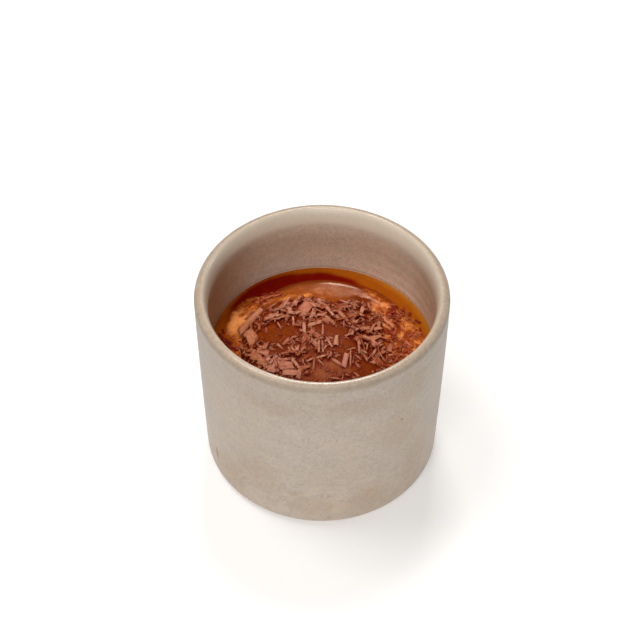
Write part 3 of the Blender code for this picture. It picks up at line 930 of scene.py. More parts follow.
def tint_scoop(piece, x, y):
    """Where crema, pale foam and a painted highlight lie on the scoop, and where its coat is thin.
    """
    torn = waves(x, y, 6.0, 31) * 0.9
    u, v = x + torn, y + torn
    out = scoop_share(x, y)
    burnt = patch(u, v, 13.5, 18.0, 3.6, 1.6, soft=0.5)

    start = 15.0 + 0.5 * np.clip(-v - 2, 0, 12) - 2.5 * between(v, 15, 30, 2)
    right = np.maximum(smooth_step(u, start, start + 3.0), smooth_step(u + 0.8 * v, 33.5, 36.5))
    left = smooth_step(-u, 23.4, 25.0) * smooth_step(v, 0, 3)
    glimpse = patch(u, v, -26, -5.5, 2.2, 4.0, soft=0.5) * 0.6
    skirt = crema_cover(x * 1.05, y * 1.05) * smooth_step(out, 0.88, 0.95)
    covered = patches(u, v, ORANGE_CREMA) + right * 0.8 + left - burnt + glimpse
    add_attribute(piece, "crema", np.clip(np.maximum(covered, skirt), 0, 1))
    smooth = patches(u, v, SMOOTH_CREMA) + light_crema(u, v)
    # Pale crema, brightened at the left as painted light
    pale = left * (1 - 0.8 * smooth_step(v, 13, 18)) + smooth
    add_attribute(piece, "pale", np.clip(pale, 0, 1))

    # Painted highlight along the back shoulder; it goes into the foam attribute with the foam
    glow = patch(x, y + 0.02 * (x - 5) ** 2, 6.5, 26.5, 5.5, 1.0, soft=0.6)
    haze = patch(u, v, 8.5, 22.5, 13.0, 4.8, soft=0.5) * 0.24
    haze = haze + patch(u, v, 17.5, 18.5, 5.0, 3.2, soft=0.6) * 0.24
    haze = haze * (1 - burnt) * (1 - 0.75 * smooth_step(out, 0.86, 0.96) * smooth_step(x, 8, 13))
    haze = haze + patch(u, v, 4.5, -16.5, 6.5, 4.5, soft=0.5) * 0.11
    add_attribute(piece, "foam", np.clip(haze + 0.90 * glow, 0, 1))
    thin = smooth_step(v, 12, 18) * 0.75 * (1 - burnt) + patch(u, v, 1, -15, 9, 5) * 0.35
    add_attribute(piece, "thin", np.clip(thin + patch(u, v, 8, -7, 4.5, 3.5) * 0.1, 0, 1))


class AFFOGATO_OT_scoop(bpy.types.Operator):
    """Make the coffee-coated scoop"""

    bl_idname = "affogato.scoop"
    bl_label = "Ice cream"

    def execute(self, context):
        points, faces = wrapped_surface(scoop_rings())
        material = scoop_finish(context.scene.affogato_scoop, context.scene.affogato_coffee)
        piece = add_piece("ice_cream_scoop", points, faces, material, ["ice_cream"])
        tint_scoop(piece, points[:, 0], points[:, 1])
        return {"FINISHED"}


# ---------------------------------------------------------------- the shavings


class Bed:
    """Height of what lies in the cup, on a net of square cells (cell across) that goes as far as
    reach from the cup's axis: shavings settle on it in turn."""

    cell = 0.25
    reach = 37.0

    def __init__(self):
        axis = np.arange(-self.reach, self.reach + self.cell, self.cell)
        x, y = np.meshgrid(axis, axis)
        self.ground = contents_height(x, y)
        self.height = self.ground.copy()

    def cells(self, points):
        """The row and column of the cell under each point."""
        index = np.rint((points[..., 1::-1] + self.reach) / self.cell).astype(int)
        index = np.clip(index, 0, self.height.shape[0] - 1)
        return index[..., 0], index[..., 1]

    def under(self, points):
        """The height of the bed under each point."""
        return self.height[self.cells(points)]

    def cover(self, points):
        """Raises the bed to these points."""
        np.maximum.at(self.height, self.cells(points), points[..., 2])

    def sunk(self, points, reach, least, depth):
        """How far points lie below the top of what is heaped within reach of them, 0 to 1: from
        least below it to depth further down."""
        heap = self.height - self.ground
        far = round(reach / self.cell)
        for axis in (0, 1):
            heap = np.max([np.roll(heap, step, axis) for step in range(-far, far + 1)], axis=0)
        above = points[:, 2] - contents_height(points[:, 0], points[:, 1])
        return np.clip((heap[self.cells(points)] - above - least) / depth, 0, 1)


def shaving_shape(form, along_steps, across_steps, rng):
    """A closed thin shaving about its own middle, as a top and a bottom sheet of points.

    A point s along (-0.5 to 0.5) and t across lies on an arc of the given angle and width,
    turned by the twist and lifted by the bow; the half thickness goes out along the arc's radius
    and thins towards the edges. The shaving narrows by taper from its first end to its last, both
    ends are cut at a slant, and the whole outline is torn.
    """
    length, width, arc, thickness, taper, slant, bow, twist = form
    s = np.linspace(-0.5, 0.5, along_steps + 1)[:, None]
    t = np.linspace(-0.5, 0.5, across_steps + 1)[None, :]
    ragged = rng.uniform(-1, 1, (2, across_steps + 1)) * min(0.12 * length, 0.40)
    corners = rng.uniform(-1, 1, (2, 4)) * 0.26
    torn = [np.interp(s, (-0.5, -0.2, 0.15, 0.5), side) for side in corners]
    narrow = (1 - taper * (s + 0.5)) * (1 + np.where(t < 0, torn[0], torn[1]) * np.abs(2 * t))
    end = np.where(s < 0, ragged[:1], ragged[1:]) * np.abs(2 * s) ** 3
    along = s * length + slant * t * width + end
    turn = np.radians(arc)
    radius = width / turn
    angle = turn * t * np.ones_like(s)
    thin = thickness * (1 - 0.55 * np.abs(2 * t) ** 3) * (1 - 0.35 * np.abs(2 * s) ** 4)
    sheets = []
    for half in (0.5, -0.5):
        out = radius + half * thin
        side = out * np.sin(angle) * narrow
        rise = out * np.cos(angle) - radius
        lean = np.radians(twist) * s
        across = side * np.cos(lean) - rise * np.sin(lean)
        rise = side * np.sin(lean) + rise * np.cos(lean)
        rise = rise + bow * (0.25 - s**2) * 4
        sheets.append(np.stack([along + 0 * across, across, rise], axis=-1))
    return np.array(sheets)


def shaving_faces(along_steps, across_steps):
    """Faces of one shaving: its two sheets and the strip round their edge, facing out."""
    rows, columns = along_steps + 1, across_steps + 1
    top = np.arange(rows * columns).reshape(rows, columns)
    low = top + rows * columns
    corners = (top[:-1, :-1], top[1:, :-1], top[1:, 1:], top[:-1, 1:])
    upper = np.stack(corners, axis=-1).reshape(-1, 4)
    edge = np.concatenate([top[0, :-1], top[:-1, -1], top[-1, :0:-1], top[:0:-1, 0]])
    after = np.roll(edge, -1)
    rim = np.stack([edge, after, after + rows * columns, edge + rows * columns], axis=-1)
    lower = (upper + rows * columns)[:, ::-1]
    return np.concatenate([upper, lower, rim])


# The share of a shaving's lower points that lie clear of the bed before it is pressed in
CLEAR_SHARE = 0.93


def settle(sheets, x, y, heading, tip, bed, press):
    """Lays a shaving on the bed: turned to its heading, leant to the slope that its ends and sides
    find there, tipped a little more, and set so high that only a few of the points of its lower
    sheet would be in the bed, and then pressed in by press."""
    cos, sin = math.cos(math.radians(heading)), math.sin(math.radians(heading))
    flat = sheets.copy()
    flat[..., 0] = x + sheets[..., 0] * cos - sheets[..., 1] * sin
    flat[..., 1] = y + sheets[..., 0] * sin + sheets[..., 1] * cos
    ground = bed.under(flat[1])
    s, w = sheets[1, ..., 0], sheets[1, ..., 1]
    third = max(1, len(s) // 3)
    rise = (ground[-third:].max() - ground[:third].max()) / max(np.ptp(s) * 0.8, 0.5)
    roll = (ground[:, -1].mean() - ground[:, 0].mean()) / max(np.ptp(w), 0.4)
    lean = math.atan(np.clip(rise, -0.55, 0.55)) + math.radians(tip)
    roll = math.atan(np.clip(roll, -0.6, 0.6)) * 0.8
    turn = Matrix.Rotation(math.radians(heading), 3, "Z")
    turn = turn @ Matrix.Rotation(-lean, 3, "Y") @ Matrix.Rotation(roll, 3, "X")
    laid = sheets @ np.array(turn).T + np.array([x, y, 0.0])
    laid[..., 2] += np.quantile(bed.under(laid[1]) - laid[1, ..., 2], CLEAR_SHARE) - press
    return laid


# Smooth patches of the coat: place and half width across and back (mm)
BARE_PATCHES = (
    (-14.5, 0.8, 6.8, 4.8),
    (4.0, 0.6, 2.8, 3.9),
    (8.0, -6.2, 4.2, 2.9),
    (12.0, -13.2, 5.6, 3.6),
    (2.0, -15.0, 6.5, 3.8),
    (-13.0, -6.4, 2.9, 1.9),
    (-2.6, -9.4, 2.0, 1.4),
)


def strewn_density(x, y, least):
    """How thickly small shavings lie on the scoop, 0 to 1: crowded along the crest at the back, in
    the middle, at the right and the front left, with a smooth strip behind and smooth patches."""
    crest = 15.8 - 0.010 * (x + 2) ** 2 - 2.4 * math.exp(-(((x - 3.5) / 3.0) ** 2))
    if y > crest or x > 20.5 or scoop_height(x, y) < COFFEE_LEVEL + 0.8:
        return 0.0
    bare = min(math.hypot((x - px) / wide, (y - py) / deep) for px, py, wide, deep in BARE_PATCHES)
    if bare < 1:
        return least
    if y > crest - 9 or x > 8.5:
        return 0.9
    return 0.8 if x < -8 else 0.55


# The shavings that can be told apart, one by one: x, y, heading, length, width, arc and tip, in
# millimetres and degrees. The arc is how far the section is rolled, and the tip raises the far end;
# lay_large lays narrow, flat and tipped ones a little less so. Where there is an eighth number, it
# is how light the shaving is, 0 to 1.
LARGE_SHAVINGS = (
    # along the left, the longest curl among them
    (-23.8, 9.4, 50, 11.8, 4.0, 115, 2, 0.70),
    (-24.2, 13.0, 62, 4.8, 2.2, 160, 4),
    (-23.4, 1.0, -66, 6.8, 4.0, 40, 3, 0.68),
    (-26.0, -1.6, -58, 4.2, 2.2, 40, 3),
    (-20.7, 4.9, 95, 3.2, 0.9, 60, 6),
    (-18.3, 2.8, 93, 2.8, 1.3, 50, 2),
    (-16.4, 8.8, 2, 3.9, 3.1, 45, 10, 0.85),
    (-15.8, 6.9, -8, 4.2, 1.0, 60, 2, 0.85),
    (-24.8, -3.3, -60, 3.6, 1.3, 60, 6),
    (-22.3, -5.3, -42, 4.6, 2.0, 40, 6),
    (-19.0, -6.4, -38, 4.8, 3.0, 35, 3, 0.60),
    (-21.4, -8.1, -30, 4.4, 2.9, 35, 3, 0.45),
    (-17.3, -10.6, -32, 4.2, 1.5, 50, 6),
    # the crest at the back
    (-17.0, 14.2, 35, 4.2, 1.2, 90, 12),
    (-15.6, 11.7, 30, 3.6, 1.4, 60, 10),
    (-13.6, 12.4, 48, 6.4, 1.7, 80, 10),
    (-12.0, 13.6, 60, 5.4, 1.3, 110, 12),
    (-13.0, 9.3, 70, 3.6, 1.3, 70, 14),
    (-11.4, 7.6, 80, 3.6, 1.2, 70, 10),
    (-9.5, 13.2, 47, 6.6, 1.4, 90, 12),
    (-8.0, 14.2, 62, 4.6, 1.4, 70, 10),
    (-5.4, 10.6, 60, 7.6, 4.0, 35, 7, 0.66),
    (-7.4, 8.4, -35, 4.6, 2.3, 45, 6),
    (-2.6, 8.2, 76, 3.8, 1.9, 50, 10),
    (-2.8, 12.1, -28, 5.2, 1.5, 60, 8),
    (0.1, 12.8, -30, 3.6, 1.4, 60, 6),
    (2.0, 9.1, -63, 8.6, 1.6, 70, 8),
    (2.4, 4.6, -50, 8.2, 1.9, 55, 6, 0.78),
    (-0.1, 6.8, -10, 3.0, 2.5, 50, 8),
    (7.0, 11.0, 9, 5.6, 1.8, 60, 8),
    (4.6, 7.8, -4, 3.6, 1.0, 70, 8),
    (7.4, 5.0, -57, 7.4, 1.5, 70, 10),
    (7.1, 8.2, -76, 3.4, 1.1, 70, 12),
    (8.5, 14.2, 62, 3.6, 1.7, 60, 8),
    (11.0, 16.2, 15, 2.6, 0.9, 70, 6),
    (11.8, 15.2, 88, 2.8, 0.8, 70, 6),
    (15.7, 14.0, 94, 4.6, 1.2, 80, 8),
    (13.3, 14.0, 78, 3.8, 1.1, 80, 10),
    (13.5, 10.5, 72, 5.4, 1.6, 90, 14),
    (10.9, 12.4, 84, 3.6, 1.2, 70, 12),
    (12.0, 8.2, -38, 4.6, 1.1, 60, 16),
    (10.7, 6.6, 60, 3.6, 1.7, 50, 10),
    (11.5, 4.4, 17, 4.4, 1.3, 60, 10),
    # the middle
    (-9.3, 4.3, 94, 4.4, 0.9, 60, 12),
    (-7.4, 4.0, -60, 3.2, 1.1, 60, 8),
    (-5.7, 0.1, 93, 4.8, 1.4, 60, 12),
    (-5.5, -3.9, 80, 3.9, 2.7, 50, 10),
    (-3.9, -2.9, 74, 4.2, 1.4, 60, 16),
    (-6.1, -6.8, 70, 3.4, 1.5, 60, 8),
    (-2.4, 2.6, 15, 4.5, 2.1, 45, 8),
    (-2.2, -1.9, -40, 4.6, 2.1, 45, 6),
    (0.3, -0.7, 89, 5.4, 0.9, 60, 10),
    (-2.1, -5.9, -54, 3.8, 2.4, 40, 14),
    (-0.9, -7.2, 88, 4.2, 0.8, 60, 8),
    (0.3, -7.4, -84, 5.2, 0.9, 60, 8),
    (2.4, -5.2, -66, 4.8, 0.9, 60, 10),
    (4.8, -4.6, 82, 3.7, 3.0, 175, 20, 0.95),
    (8.8, -2.2, 12, 3.2, 0.8, 60, 10),
    (9.5, -7.1, 17, 3.6, 0.7, 60, 12),
    (12.1, -6.6, 96, 4.6, 1.2, 150, 24),
    (13.1, -8.4, 95, 2.8, 0.7, 60, 14),
    # the front
    (7.6, -12.4, 76, 4.8, 3.2, 165, 28, 0.95),
    (9.3, -11.7, 88, 6.2, 0.7, 60, 16),
    (10.2, -10.6, 86, 4.4, 0.6, 60, 12),
    (4.7, -12.4, -33, 5.4, 1.2, 50, 6),
    (0.0, -10.9, 9, 4.8, 1.0, 70, 10),
    (-2.6, -14.0, 86, 5.6, 0.9, 70, 8),
    (-12.3, -8.6, -3, 2.2, 0.9, 40, 12),
    (-11.7, -3.7, 52, 3.4, 1.1, 60, 12),
    (-8.8, -2.6, 15, 2.0, 1.0, 50, 10),
    (-9.0, -8.1, -62, 4.8, 1.1, 60, 10),
    (-6.6, -8.8, 50, 4.2, 1.0, 60, 8),
    (-8.4, -13.0, -56, 5.6, 1.2, 60, 8),
    (-12.4, -11.2, -5, 5.0, 1.1, 60, 8),
    (-11.7, -13.2, -5, 5.2, 2.9, 40, 4, 0.55),
    (-19.2, -10.9, -35, 4.2, 2.8, 35, 3, 0.50),
    (-16.0, -13.6, -15, 4.6, 2.9, 35, 3, 0.60),
    (-9.8, -15.9, -8, 5.6, 2.8, 40, 4, 0.70),
    (-7.2, -16.8, 80, 3.2, 1.9, 50, 8),
    (-5.6, -14.6, 20, 3.8, 1.9, 50, 6),
    (-15.5, -13.0, 58, 3.2, 1.9, 40, 6),
    (-15.7, -10.6, 40, 3.8, 1.5, 50, 6),
    # the right
    (16.0, -3.0, -44, 6.0, 2.4, 40, 8, 0.80),
    (17.8, -1.2, 30, 4.0, 2.1, 45, 8, 0.6),
    (14.3, 1.8, 25, 3.6, 2.2, 45, 8, 0.5),
    (16.6, 2.6, 66, 4.0, 1.1, 60, 10),
    (18.6, 3.0, 20, 2.8, 1.6, 50, 6),
    (18.4, -3.9, 46, 3.6, 1.2, 60, 8),
    (18.3, -10.2, -42, 6.0, 3.2, 35, 6, 0.1),
    (17.0, -7.4, 58, 4.4, 1.1, 60, 8),
    (19.4, -6.8, 50, 3.6, 1.8, 50, 6, 0.3),
    (14.0, -9.4, -62, 3.8, 0.8, 60, 8),
    (22.0, -8.6, 25, 3.5, 2.1, 45, 4, 0.9),
    (22.4, -2.8, 80, 4.6, 2.1, 45, 4),
)

# The shavings that lie wet in the crema, told apart in the same way. The last number is how light
# each is, from 1 down to -0.5 for the darkest.
SOAKED_SHAVINGS = (
    (22.6, 3.4, 20, 3.6, 1.9, 45, 4, 0.1),
    (21.2, 5.7, -38, 4.6, 1.7, 45, 8, 0.9),
    (22.0, 8.4, -42, 5.6, 2.2, 60, 3, 1.0),
    (22.8, 13.6, 66, 5.4, 1.9, 50, 3, -0.1),
    (24.6, 14.8, 84, 5.0, 1.6, 50, 5, 0.15),
    (23.4, 11.4, 38, 4.0, 1.5, 50, 4, 0.3),
    (23.8, 17.0, 30, 3.4, 1.3, 50, 3, 0.0),
    (24.9, 10.4, 60, 5.6, 1.2, 60, 4, 0.1),
    (26.2, 15.6, 55, 4.2, 1.4, 50, 2, 0.1),
    (23.4, 18.2, 10, 2.8, 1.2, 50, 2, 0.7),
    (27.9, 13.8, -50, 4.6, 1.1, 60, 2, 0.4),
    (29.2, 11.8, -40, 3.0, 1.0, 60, 2, 0.6),
    (32.3, 11.8, -30, 2.2, 1.5, 60, 2, -0.3),
    (33.0, 7.2, -80, 3.2, 0.9, 60, 2, -0.1),
    (29.8, 5.5, 30, 2.8, 2.0, 40, 2, 0.1),
    (25.2, 0.4, -60, 4.6, 1.5, 60, 4, 0.3),
    (26.7, -0.6, 40, 4.0, 1.2, 60, 4, 0.5),
    (24.0, 3.2, 68, 3.8, 1.2, 60, 4, 0.3),
    (28.8, 0.9, -50, 3.2, 1.2, 60, 3, 0.5),
    (29.2, -1.3, -40, 2.6, 1.2, 60, 3, 0.2),
    (27.3, -2.8, 30, 3.2, 1.4, 60, 3, 0.1),
    (24.4, -4.9, -10, 3.2, 1.5, 50, 3, 0.7),
    (23.2, -5.9, 20, 3.2, 1.0, 60, 3, 0.6),
    (27.6, 4.6, 72, 3.6, 1.1, 60, 3, 0.2),
    (-21.4, 20.4, 28, 3.4, 1.8, 60, 4, -0.2),
    (-18.4, 20.2, 8, 6.2, 1.2, 60, 6, 0.5),
    (-18.9, 23.2, -20, 3.4, 1.5, 60, 4, 0.0),
    (-16.4, 22.6, 35, 3.8, 1.4, 60, 5, 0.3),
    (-18.9, 21.8, -8, 4.2, 1.3, 60, 6, 0.2),
    (-15.2, 20.4, 20, 3.6, 1.2, 60, 5, 0.3),
    (-17.4, 17.8, -25, 4.2, 1.0, 60, 4, 0.4),
    (-18.6, 16.9, -15, 2.8, 1.3, 50, 2, 0.4),
    (-33.6, 5.0, -66, 2.8, 1.3, 60, 2, -0.5),
    (-32.2, 3.2, -60, 3.0, 1.5, 60, 2, -0.5),
    (-30.8, 2.4, -40, 3.0, 1.5, 60, 2, -0.5),
    (-30.6, 0.2, -55, 3.4, 1.6, 60, 2, -0.4),
    (-28.9, -1.0, -50, 3.0, 1.4, 60, 3, -0.3),
    (-29.0, -3.4, -48, 2.8, 1.3, 60, 3, 0.2),
    (-27.6, -5.0, -45, 2.8, 1.2, 60, 3, -0.4),
    (-32.9, 7.3, -75, 2.4, 1.1, 60, 1, -0.5),
)

# Least and greatest length, width, arc, thickness and tip of each kind, and its steps along and
# across
KINDS = {
    "grit": ((0.3, 0.9), (0.25, 0.5), (10, 30), (0.15, 0.28), (-18, 18), (2, 2)),
    "crumbs": ((0.6, 1.9), (0.3, 0.9), (8, 35), (0.16, 0.28), (-24, 24), (3, 2)),
    "splinters": ((1.6, 4.2), (0.40, 0.80), (8, 45), (0.18, 0.28), (-12, 22), (5, 3)),
    "flakes": ((1.3, 3.2), (0.9, 1.9), (6, 40), (0.16, 0.24), (-12, 18), (5, 4)),
    "curls": ((2.4, 5.0), (0.9, 1.8), (110, 220), (0.18, 0.26), (-6, 14), (5, 5)),
}
LARGE_STEPS = (12, 8)
WET_STEPS = (4, 3)

# The share of the small shavings on the scoop that are strewn before the large ones are laid
EARLY_SHARE = 0.70

# Where small pieces lie wet: degrees round the cup, nearest and furthest from its axis (mm), and
# the share of them at each
WET_PLACES = (((-28, 34), 21.5, 33.5), ((122, 142), 25.0, 30.0), ((172, 204), 27.0, 32.5))
WET_SHARES = (0.80, 0.08, 0.12)


def chocolate(name, settings, soaked):
    """Dull milk chocolate with grain along each shaving, some of them tanner or redder.

    Dry ones take the colour of the coat where they lie low on it, partly as painted shade, and that
    of the crema at the two sides. Soaked ones are redder and glossier, the darkest nearly as dark
    as the painted shade under others. Both carry painted shade where others lie above them."""
    mix = Recipe(name)
    grain_place = mix.attribute("grain", "Vector")
    tone = mix.attribute("tone")
    grain = mix.noise(mix.stretch(grain_place, (0.28, 1.3, 1.0)), 0.55, 3.0, 0.65)
    mottle = mix.noise(grain_place, 1.2, 3.0, 0.6)
    inputs = {"W": mix.split(grain_place)[2]}
    drawn = mix.add("ShaderNodeTexWhiteNoise", {"noise_dimensions": "1D"}, inputs)
    light = np.array(settings.soaked if soaked else settings.chocolate)
    dark = light * (0.38, 0.10, 0.04) if soaked else settings.chocolate_dark
    face = mix.mix(drawn.step(0.25, 0.75), light, light * (0.94, 1.02, 0.88))
    face = mix.mix(drawn.step(0.90, 0.94) * 0.5, face, light * (0.98, 0.70, 0.78))
    level = tone * 0.95 + (grain - 0.5) * 2.1 + (mottle - 0.5) * 0.9
    level = level + (0.02 if soaked else 0.10)
    tint = mix.mix(level, dark, face)
    if soaked:
        tint = mix.mix(tone.step(-0.05, -0.45) * 0.75, tint, settings.crevice_shade)
    else:
        x = mix.split(mix.place())[0]
        beside = x.step(-18.0, -23.0) * 0.75 + x.step(12.0, 20.0) * 0.45
        tint = mix.mix(beside, tint, mix.mix(level, settings.chocolate_dark, settings.stained))
        # Low on the coat the chocolate takes the coat's colour: partly wetted by it, partly painted
        # shade
        dry = (mix.attribute("clear") + (mottle - 0.5) * 0.4).step(-0.1, 0.55)
        tint = mix.mix(dry * 0.88 + 0.12, settings.coated, tint)
    # Painted shade where other shavings lie above
    tint = mix.mix(mix.attribute("sunk") * 0.96, tint, settings.crevice_shade)
    return mix.principled(
        base_color=tint,
        roughness=(grain - 0.5) * 0.2 + (0.40 if soaked else 0.62),
        specular_ior_level=0.12 if soaked else 0.06,
        normal=mix.bump(grain + mottle * 0.5, 0.5, 0.12),
    )


# How high above the scoop or the coffee chocolate is clear of the coat
CLEAR_HEIGHT = 1.3


def add_shavings(name, pieces, tones, steps, bed, material, nodes):
    """One piece from many shavings of one kind, with what their chocolate reads at each point.

    grain is the place along and across the shaving and the shaving's own number, tone how light it
    is, sunk how deep it lies under others, for painted shade, and clear how high above the scoop or
    the coffee."""
    sheets = np.array([laid for laid, form in pieces])
    sizes = np.array([form[:2] for laid, form in pieces])[:, :, None, None]
    count, per = len(sheets), sheets[0].size // 3
    faces = shaving_faces(*steps)[None] + (np.arange(count) * per)[:, None, None]
    points, quads = sheets.reshape(-1, 3), faces.reshape(-1, 4).tolist()
    piece = add_piece(name, points, quads, material, nodes)
    smooth = np.arange(faces.shape[1]) < 2 * steps[0] * steps[1]
    piece.data.polygons.foreach_set("use_smooth", np.tile(smooth, count))
    s = np.linspace(-0.5, 0.5, steps[0] + 1)[:, None]
    t = np.linspace(-0.5, 0.5, steps[1] + 1)[None, :]
    along, across = sizes[:, :1] * s + 0 * t, sizes[:, 1:] * t + 0 * s
    apart = 9.7
    own = np.arange(count)[:, None, None, None] * apart + 0 * along
    grain = np.repeat(np.stack([along, across, own], axis=-1), 2, axis=1)
    above = points[:, 2] - contents_height(points[:, 0], points[:, 1])
    add_attribute(piece, "grain", grain.reshape(-1, 3))
    add_attribute(piece, "tone", np.repeat(tones, per))
    add_attribute(piece, "sunk", bed.sunk(points, reach=0.45, least=0.18, depth=1.0))
    add_attribute(piece, "clear", np.clip(above / CLEAR_HEIGHT, 0, 1))


def drawn_form(kind, rng):
    """The form of one shaving of a kind (length, width, arc, thickness, taper, slant, bow and
    twist), and its tip."""
    *ranges, tips, _ = KINDS[kind]
    length, width, arc, thickness = (rng.uniform(*span) for span in ranges)
    bow, twist = rng.uniform(-0.02, 0.09) * length, rng.uniform(-30, 30)
    taper, slant = rng.uniform(0, 0.5), rng.uniform(-0.5, 0.5)
    return (length, width, arc, thickness, taper, slant, bow, twist), rng.uniform(*tips)


def draw_place(rng, least):
    """A random place on the scoop by the density of the shavings, at least the given one."""
    while True:
        x, y = rng.uniform(-29, 29, 2)
        if rng.uniform() < strewn_density(x, y, least):
            return x, y


# How high shavings may heap above the scoop, and how far above the coffee's level the scoop must be
# wherever one of them reaches
TALLEST_HEAP = 4.6
EDGE_MARGIN = 0.6

# How far small wet ones keep from the wall
WALL_MARGIN = 0.8


def strew(kind, count, rng, bed, clear_of=()):
    """Shavings of one kind, laid one after another on the bed. One that would lie on the middle of
    a large one in clear_of, stand too high or reach over the scoop's edge is drawn again."""
    steps = KINDS[kind][-1]
    pieces = []
    in_bare_patches = 0.35 if kind == "grit" else 0.04
    while len(pieces) < count:
        form, tip = drawn_form(kind, rng)
        x, y = draw_place(rng, in_bare_patches)
        if any(math.hypot(x - place[0], y - place[1]) < 0.35 * place[3] for place in clear_of):
            continue
        sheets = shaving_shape(form, *steps, rng)
        laid = settle(sheets, x, y, rng.uniform(0, 360), tip, bed, press=0.12)
        if laid[..., 2].max() > scoop_height(x, y) + TALLEST_HEAP:
            continue
        if scoop_height(laid[..., 0], laid[..., 1]).min() < COFFEE_LEVEL + EDGE_MARGIN:
            continue
        bed.cover(laid[0])
        pieces.append((laid, form))
    return pieces


def lay_large(placed, rng, bed, press, thickness):
    """The shavings that are placed one by one, laid on the bed in their order. Those up to 2.8 mm
    wide are laid a little narrower, those rolled no more than 90 degrees flatter, and all of them
    less tipped."""
    pieces = []
    for x, y, heading, long, wide, arc, tip, *_ in placed:
        taper, slant, twist = rng.uniform(0, 0.35), rng.uniform(-0.4, 0.4), rng.uniform(-18, 18)
        wide = wide if wide > 2.8 else wide * 0.88
        arc = arc if arc > 90 else arc * 0.55
        form = (long, wide, arc, thickness, taper, slant, 0.03 * long, twist)
        sheets = shaving_shape(form, *LARGE_STEPS, rng)
        laid = settle(sheets, x, y, heading, tip * 0.6, bed, press)
        bed.cover(laid[0])
        pieces.append((laid, form))
    return pieces


def strew_wet(count, rng, bed):
    """Small shavings in the crema, each a thinner and flatter one of a kind, laid one after another
    on the bed; one that would reach the wall is drawn again."""
    pieces = []
    while len(pieces) < count:
        form, tip = drawn_form(("flakes", "splinters", "crumbs")[len(pieces) % 3], rng)
        form = (form[0] * 0.62, form[1] * 0.75, form[2] * 0.4, 0.17, *form[4:])
        turn, inner, outer = WET_PLACES[rng.choice(len(WET_PLACES), p=WET_SHARES)]
        turn = math.radians(rng.uniform(*turn))
        r = rng.uniform(inner, outer)
        x, y = r * math.cos(turn), r * math.sin(turn)
        sheets = shaving_shape(form, *WET_STEPS, rng)
        laid = settle(sheets, x, y, rng.uniform(0, 360), tip * 0.4, bed, press=0.13)
        if np.hypot(laid[..., 0], laid[..., 1]).max() > INNER_RADIUS - WALL_MARGIN:
            continue
        bed.cover(laid[0])
        pieces.append((laid, form))
    return pieces


class AFFOGATO_OT_shavings(bpy.types.Operator):
    """Strew the chocolate shavings over the scoop"""

    bl_idname = "affogato.shavings"
    bl_label = "Chocolate shavings"

    def execute(self, context):
        settings = context.scene.affogato_shavings
        rng = np.random.default_rng(7)
        bed = Bed()
        dry = chocolate("milk_chocolate", settings, soaked=False)
        nodes = ["ice_cream"]
        counts = {kind: getattr(settings, kind) for kind in KINDS}
        early = {
            kind: strew(kind, round(counts[kind] * EARLY_SHARE), rng, bed) for kind in KINDS
        }
        large = lay_large(LARGE_SHAVINGS, rng, bed, press=0.15, thickness=0.24)
        light_ones = [place for place in LARGE_SHAVINGS if len(place) > 7 and place[7] > 0.4]
        late = {
            kind: strew(kind, counts[kind] - len(early[kind]), rng, bed, light_ones)
            for kind in KINDS
        }
        tones = [place[7] if len(place) > 7 else rng.uniform(0.2, 1.0) for place in LARGE_SHAVINGS]
        add_shavings("shavings_large", large, tones, LARGE_STEPS, bed, dry, nodes)
        for kind, (*_, steps) in KINDS.items():
            pieces = early[kind] + late[kind]
            tones = rng.uniform(-0.1, 0.95, len(pieces))
            add_shavings(f"shavings_{kind}", pieces, tones, steps, bed, dry, nodes)
        scoop = bpy.data.objects["ice_cream_scoop"]
        points = np.empty(len(scoop.data.vertices) * 3, np.float32)
        scoop.data.vertices.foreach_get("co", points)
        # Painted shade on the scoop under the shavings
        under = bed.sunk(points.reshape(-1, 3) * MM, reach=0.5, least=0.10, depth=0.6)
        add_attribute(scoop, "under", under)
        return {"FINISHED"}


class AFFOGATO_OT_soaked(bpy.types.Operator):
    """Lay the soaked shavings in the crema"""

    bl_idname = "affogato.soaked"
    bl_label = "Soaked shavings"

    def execute(self, context):
        settings = context.scene.affogato_shavings
        rng = np.random.default_rng(19)
        bed = Bed()
        wet = chocolate("soaked_chocolate", settings, soaked=True)
        nodes = ["ice_cream", "coffee"]
        large = lay_large(SOAKED_SHAVINGS, rng, bed, press=0.14, thickness=0.30)
        small = strew_wet(settings.wet, rng, bed)
        tones = [place[-1] for place in SOAKED_SHAVINGS]
        add_shavings("shavings_soaked_large", large, tones, LARGE_STEPS, bed, wet, nodes)
        tones = rng.uniform(-0.2, 0.7, len(small))
        add_shavings("shavings_soaked", small, tones, WET_STEPS, bed, wet, nodes)
        return {"FINISHED"}


# ---------------------------------------------------------------- the stage


def add_light(name, direction, distance, size, watts, tint):
    """A square lamp of that size (m) that looks into the cup's mouth from a direction."""
    lamp = bpy.data.lights.new(name, "AREA")
    lamp.shape = "SQUARE"
    lamp.size = size
    lamp.energy = watts
    lamp.color = tint
    obj = bpy.data.objects.new(name, lamp)
    aim = Vector((0, 0, 0.06))
    away = Vector(direction).normalized()
    obj.location = aim + away * distance
    obj.rotation_euler = away.to_track_quat("Z", "Y").to_euler()
    bpy.context.scene.collection.objects.link(obj)


def lay_floor(glow):
    """A plain pale floor that gives back a little light of its own."""
    side = 3.0
    mesh = bpy.data.meshes.new("floor")
    corners = [(-side, -side, 0), (side, -side, 0), (side, side, 0), (-side, side, 0)]
    mesh.from_pydata(corners, [], [(0, 1, 2, 3)])
    floor = bpy.data.objects.new("floor", mesh)
    bpy.context.scene.collection.objects.link(floor)
    mix = Recipe("floor_paper")
    tone = mix.noise(mix.place(), 40.0, 2.0) * 0.012 + 0.985
    paper = mix.principled(
        base_color=mix.shade((0.88, 0.875, 0.87), tone),
        roughness=0.9,
        emission_color=(1, 1, 1),
        emission_strength=glow,
    )
    mesh.materials.append(paper)


